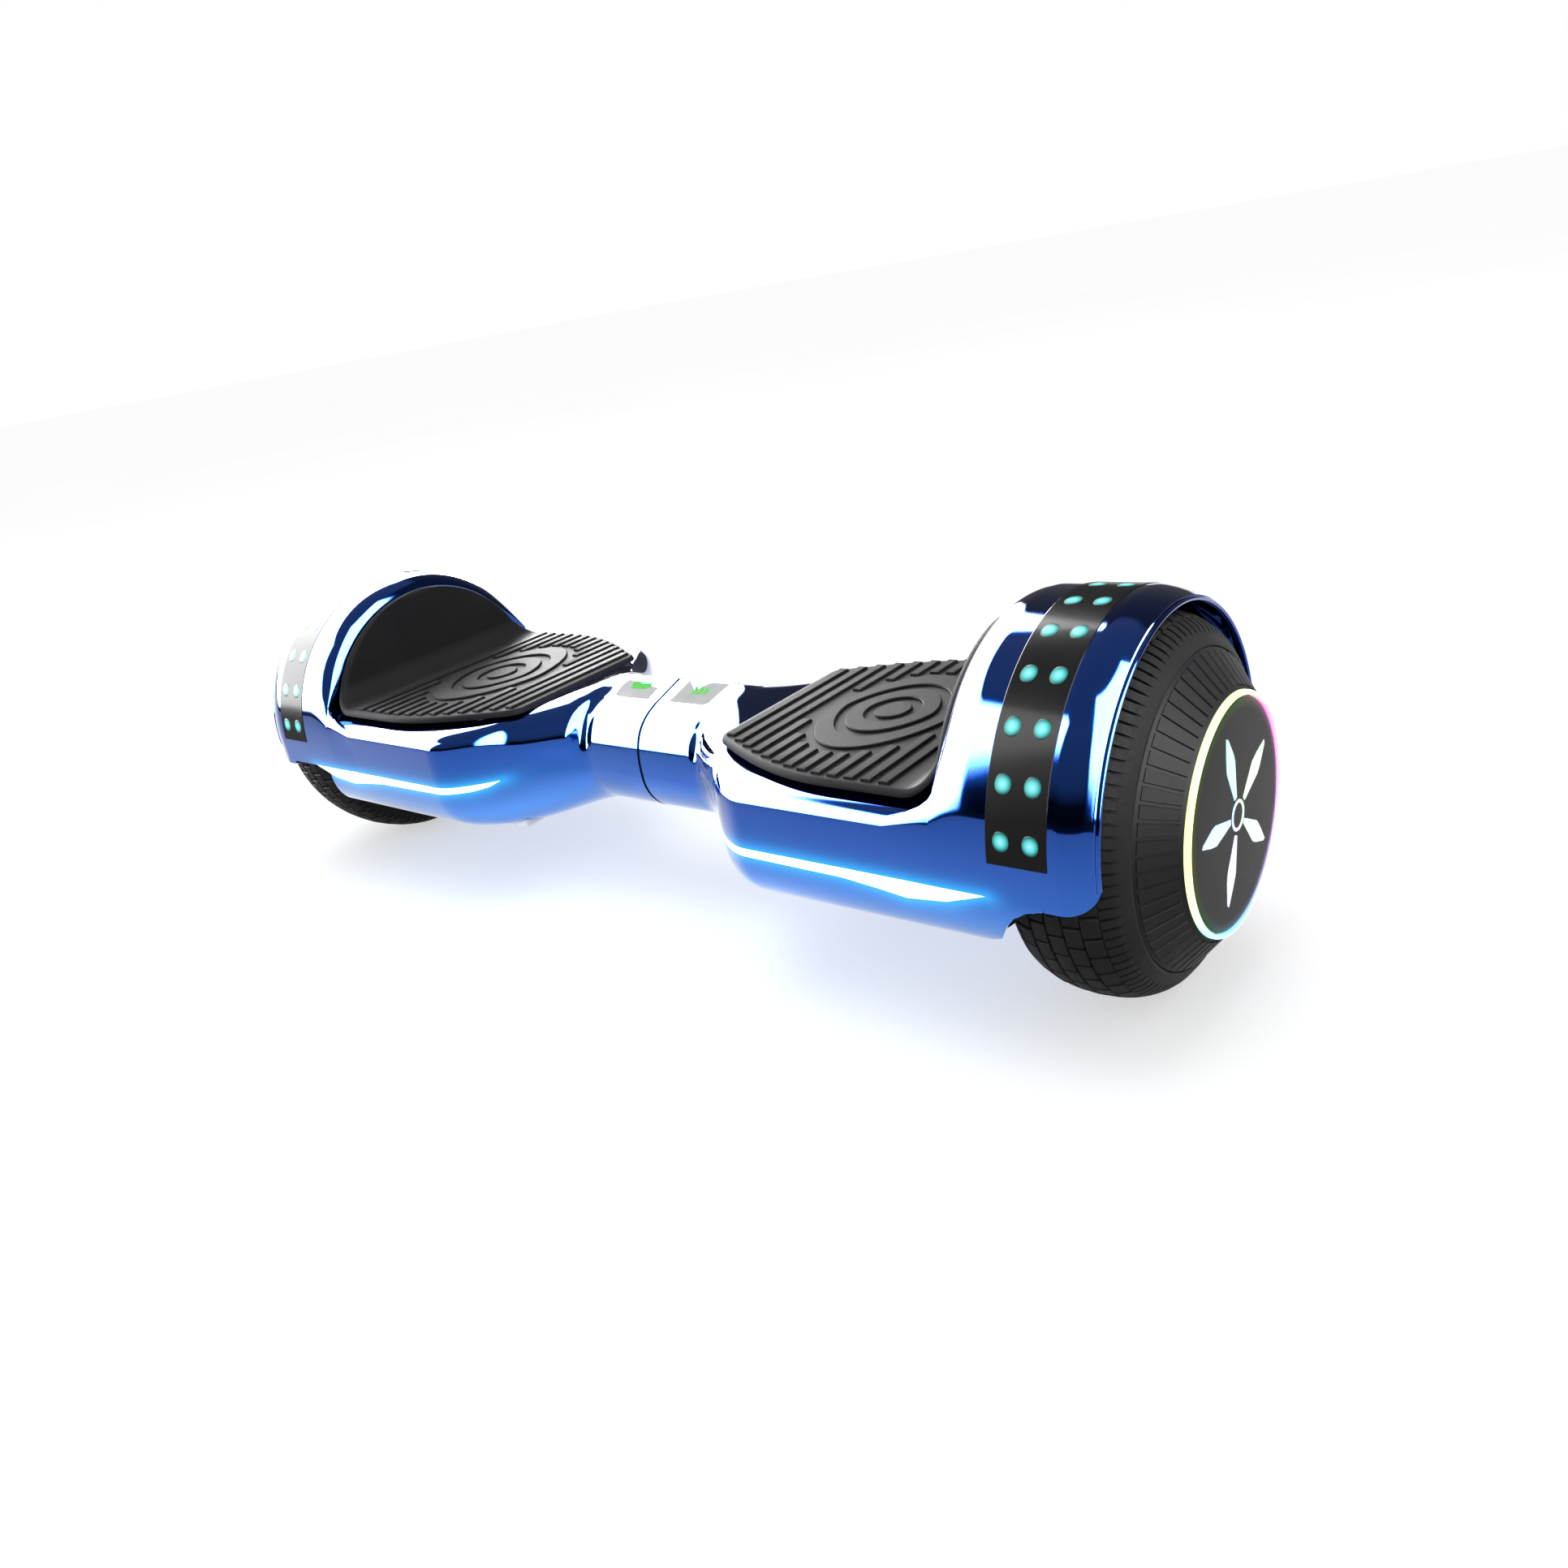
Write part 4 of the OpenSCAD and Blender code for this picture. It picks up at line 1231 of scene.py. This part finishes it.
def cover_rib(pitch):
    """One raised rib of the cover, from the hub crest out to the rim."""
    verts = []
    for x, r in ((318.3, 54.6), (307.2, 68.7)):
        half, groove = pitch / 2, 0.55 / r
        foot, crest = half - groove * 0.9, half - groove * 1.7
        for angle, high in ((-foot, -0.5), (-crest, 0.55), (crest, 0.55), (foot, -0.5)):
            radius = (r + high * 0.55) * MM
            verts.append(((x + high * 0.83) * MM, radius * math.sin(angle), radius * math.cos(angle)))
    return stacked("cover_rib", [verts[:4], verts[4:]], RIBBED)


def wheel_cover():
    profile = [(300.4, 40), (300.4, 69.8), (305.9, 69.9), (306.6, 69.4), (318.4, 54.2), (319.6, 53.2),
               (320.0, 52.8), (320.0, 50.9), (317, 50.9), (304, 66), (303.2, 66), (303.2, 40)]
    dish = turned_piece("dish", profile, RIBBED, 180)
    pitch = 2 * math.pi / COVER_RIBS
    ribs = repeat_around("cover_ribs", cover_rib(pitch), COVER_RIBS, 0.0, pitch)
    both_sides(join("right_ribbed_cover", [dish, ribs]), "wheel", "ribbed_cover", "wheel_cover")


def hub_cap():
    face, edge = cap_hi[0] / MM, CAP_R / MM
    cap = turned_piece("right_cap_disc", [(face - 1.2, 0.02), (face, 0.02), (face, 20), (face, 45),
                                          (face - 0.05, edge - 3), (face - 0.35, edge - 1.2),
                                          (face - 1.0, edge - 0.2), (face - 2.4, edge), (303.3, edge),
                                          (303.3, edge - 2), (face - 3, edge - 3)], CAP, 180)
    both_sides(cap, "wheel", "cap_gloss", "hub_cap")
    ring = turned_piece("right_light_ring", [(319.8, 50.9), (321.9, 50.8), (322.4, 51.3), (322.5, 51.9),
                                             (322.1, 52.6), (321.2, 52.95), (319.8, 52.95)], RING, 180)
    both_sides(ring, "wheel", "ring_light", "hub_light_ring")


def spoke(face):
    """One tapered spoke of the cap's lit star, about the origin."""
    outline = [(-1.2, 8.5), (1.2, 8.5), (2.4, 14), (4.9, 25), (4.4, 29), (1.2, 38.5), (-0.4, 39.5),
               (-3.2, 31), (-4.6, 25), (-2.6, 15)]
    low = [(face - 0.1 * MM, a * MM, b * MM) for a, b in outline]
    high = [(face + 0.35 * MM, a * 0.94 * MM, mix(b, 23, 0.02) * MM) for a, b in outline]
    return stacked("spoke", [low, high], EMBLEM)


SPOKES = 5


def hub_emblem():
    face = cap_hi[0]
    turn = 2 * math.pi / SPOKES
    star = repeat_around("star", spoke(face), SPOKES, math.radians(14), turn)
    low, high = face / MM - 0.1, face / MM + 0.35
    ring = turned_piece("star_ring", [(low, 5.4), (high, 5.6), (high, 6.8), (low, 7.0)], EMBLEM, 64)
    both_sides(join("right_lit_star", [star, ring]), "wheel", "emblem_light", "hub_emblem")


# ---- Carried-over CAD nodes ----

FINISHES = {
    "headlight_board": BOARD, "sensor_board": BOARD, "frame": CAST, "axle": STEEL, "axle_clamp": DARK_STEEL,
    "stator": COPPER, "motor_rim": MACHINED, "motor_cover": MACHINED, "wheel_bearings": STEEL,
    "shell_screws": DARK_STEEL, "motor_cable": DARK, "pad_plungers": GREY}
SINGLE_FINISHES = {
    "pivot_shaft": STEEL, "pivot_bushes": NYLON, "pivot_retainer": DARK_STEEL,
    "main_board": BOARD, "battery_pack": WRAP, "battery_strap": GREY, "charge_port": DARK,
    "power_button": BUTTON, "power_switch": DARK, "speaker": DARK}


def finish_cad_nodes():
    finishes = dict(SINGLE_FINISHES)
    for side in ("left", "right"):
        finishes.update({f"{side}_{name}": material for name, material in FINISHES.items()})
    for name, material in finishes.items():
        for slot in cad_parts[name].material_slots:
            slot.material = material


# ---- Stage ----

def sky_window(n, value, low, high, soft):
    """1 between low and high, falling to 0 over a soft edge on either side."""
    rise, fall = (n.add("ShaderNodeMapRange", {0: value, 1: edge - soft, 2: edge + soft},
                        interpolation_type="SMOOTHSTEP").outputs[0] for edge in (low, high))
    return n.math("SUBTRACT", rise, fall)


def turned_azimuth(n, direction, centre):
    """Azimuth in degrees from a centre direction, positive from +X towards +Y."""
    turned = n.add("ShaderNodeVectorRotate",
                   {"Vector": direction, "Axis": (0, 0, 1), "Angle": -math.radians(centre)})
    part = n.add("ShaderNodeSeparateXYZ", {0: turned.outputs[0]})
    return n.math("MULTIPLY", n.math("ARCTAN2", part.outputs["Y"], part.outputs["X"]), 180 / math.pi)


# The softboxes: centre azimuth, left and right edge from it, low and high edge, all in degrees, and strength
SOFTBOXES = [(181, -51, 55, 3, 52, 46.0), (-16, -42, 41, 6, 70, 42.0)]


def mirrored_studio(n):
    """What the glossy surfaces see: two softboxes, a dark side in front and a dim ceiling."""
    direction = n.add("ShaderNodeTexCoord").outputs["Generated"]
    height = n.add("ShaderNodeSeparateXYZ", {0: direction}).outputs["Z"]
    lift = n.math("MULTIPLY", n.math("ARCSINE", height), 180 / math.pi)
    front = sky_window(n, turned_azimuth(n, direction, 263), -38, 38, 9)
    rising = n.ramp(n.math("DIVIDE", lift, 90.0), [(0.0, 0.06), (0.05, 0.012), (0.15, 0.02), (0.26, 0.30),
                                                   (0.6, 0.42), (0.9, 0.42)])
    level = n.blend(front, (0.10, 0.10, 0.10), rising)
    level = n.blend(sky_window(n, lift, 54, 120, 3), level, (0.4, 0.4, 0.4))
    for centre, left, right, low, high, strength in SOFTBOXES:
        across = sky_window(n, turned_azimuth(n, direction, centre), left, right, 2.5)
        mask = n.math("MULTIPLY", across, sky_window(n, lift, low, high, 1.5))
        level = n.blend(mask, level, (strength,) * 3)
    return n.blend(sky_window(n, lift, -120, -0.3, 0.3), level, (0.8, 0.8, 0.8))


def world_light():
    """Even white light, with a separate studio for the mirrored surfaces."""
    world = bpy.data.worlds.new("studio")
    bpy.context.scene.world = world
    world.use_nodes = True
    world.node_tree.nodes.clear()
    n = Nodes(world.node_tree)
    path = n.add("ShaderNodeLightPath").outputs
    skies = ((WHITE, 0.8), (mirrored_studio(n), 1.0), (WHITE, 1.0))
    even_light, mirror, seen = (n.add("ShaderNodeBackground", {0: colour, 1: strength}).outputs[0]
                                for colour, strength in skies)
    lit = n.add("ShaderNodeMixShader", {0: path["Is Glossy Ray"], 1: even_light, 2: mirror})
    last = n.add("ShaderNodeMixShader", {0: path["Is Camera Ray"], 1: lit.outputs[0], 2: seen})
    n.add("ShaderNodeOutputWorld", {0: last.outputs[0]})


def overhead_light():
    """A wide light over the board that isn't seen in the mirrored surfaces."""
    place = Vector((-0.3, 0.2, 2.2))
    data = bpy.data.lights.new("overhead", "AREA")
    data.shape = "RECTANGLE"
    data.size, data.size_y = 2.2, 1.6
    data.energy = 30
    light = bpy.data.objects.new("overhead", data)
    light.location = place
    light.visible_glossy = False
    light.rotation_euler = (-place).to_track_quat("-Z", "Y").to_euler()
    bpy.context.scene.collection.objects.link(light)


def stage():
    half = 40.0
    corners = [(-half, -half, 0), (half, -half, 0), (half, half, 0), (-half, half, 0)]
    new_piece("studio_floor", corners, [(0, 1, 2, 3)], floor_material(), smooth=False)
    overhead_light()


def floor_material():
    n = Finish("pale_floor")
    n.set(Base_Color=n.drift(n.noise(2.0), 0.50, 0.52), Roughness=n.drift(n.noise(8.0), 0.6, 0.66),
          Specular_IOR_Level=0.0, Emission_Color=WHITE, Emission_Strength=0.56)
    return n.material


def camera():
    """Three-quarter view from the right front, looking down, with the camera rolled a little."""
    place = Vector((0.49625, -0.46812, 0.32588))
    forward = Vector((-0.6214, 0.6919, -0.3675)).normalized()
    upward = Vector((-0.1092, 0.388, 0.9152))
    upward = (upward - forward * upward.dot(forward)).normalized()
    turn = Matrix((forward.cross(upward), upward, -forward)).transposed().to_4x4()
    data = bpy.data.cameras.new("camera")
    data.sensor_width = 36.0
    data.lens = 28.44
    data.shift_x, data.shift_y = -0.0016, -0.0088
    view = bpy.data.objects.new("camera", data)
    view.matrix_world = Matrix.Translation(place) @ turn
    bpy.context.scene.collection.objects.link(view)
    bpy.context.scene.camera = view


def main():
    camera()
    world_light()
    stage()
    top_shell()
    bottom_shell()
    headlight()
    strip_band()
    strip_leds()
    indicator_windows()
    joint_seal()
    foot_pad()
    tyre()
    wheel_cover()
    hub_cap()
    hub_emblem()
    finish_cad_nodes()
    bpy.context.scene.view_settings.view_transform = "Standard"


main()
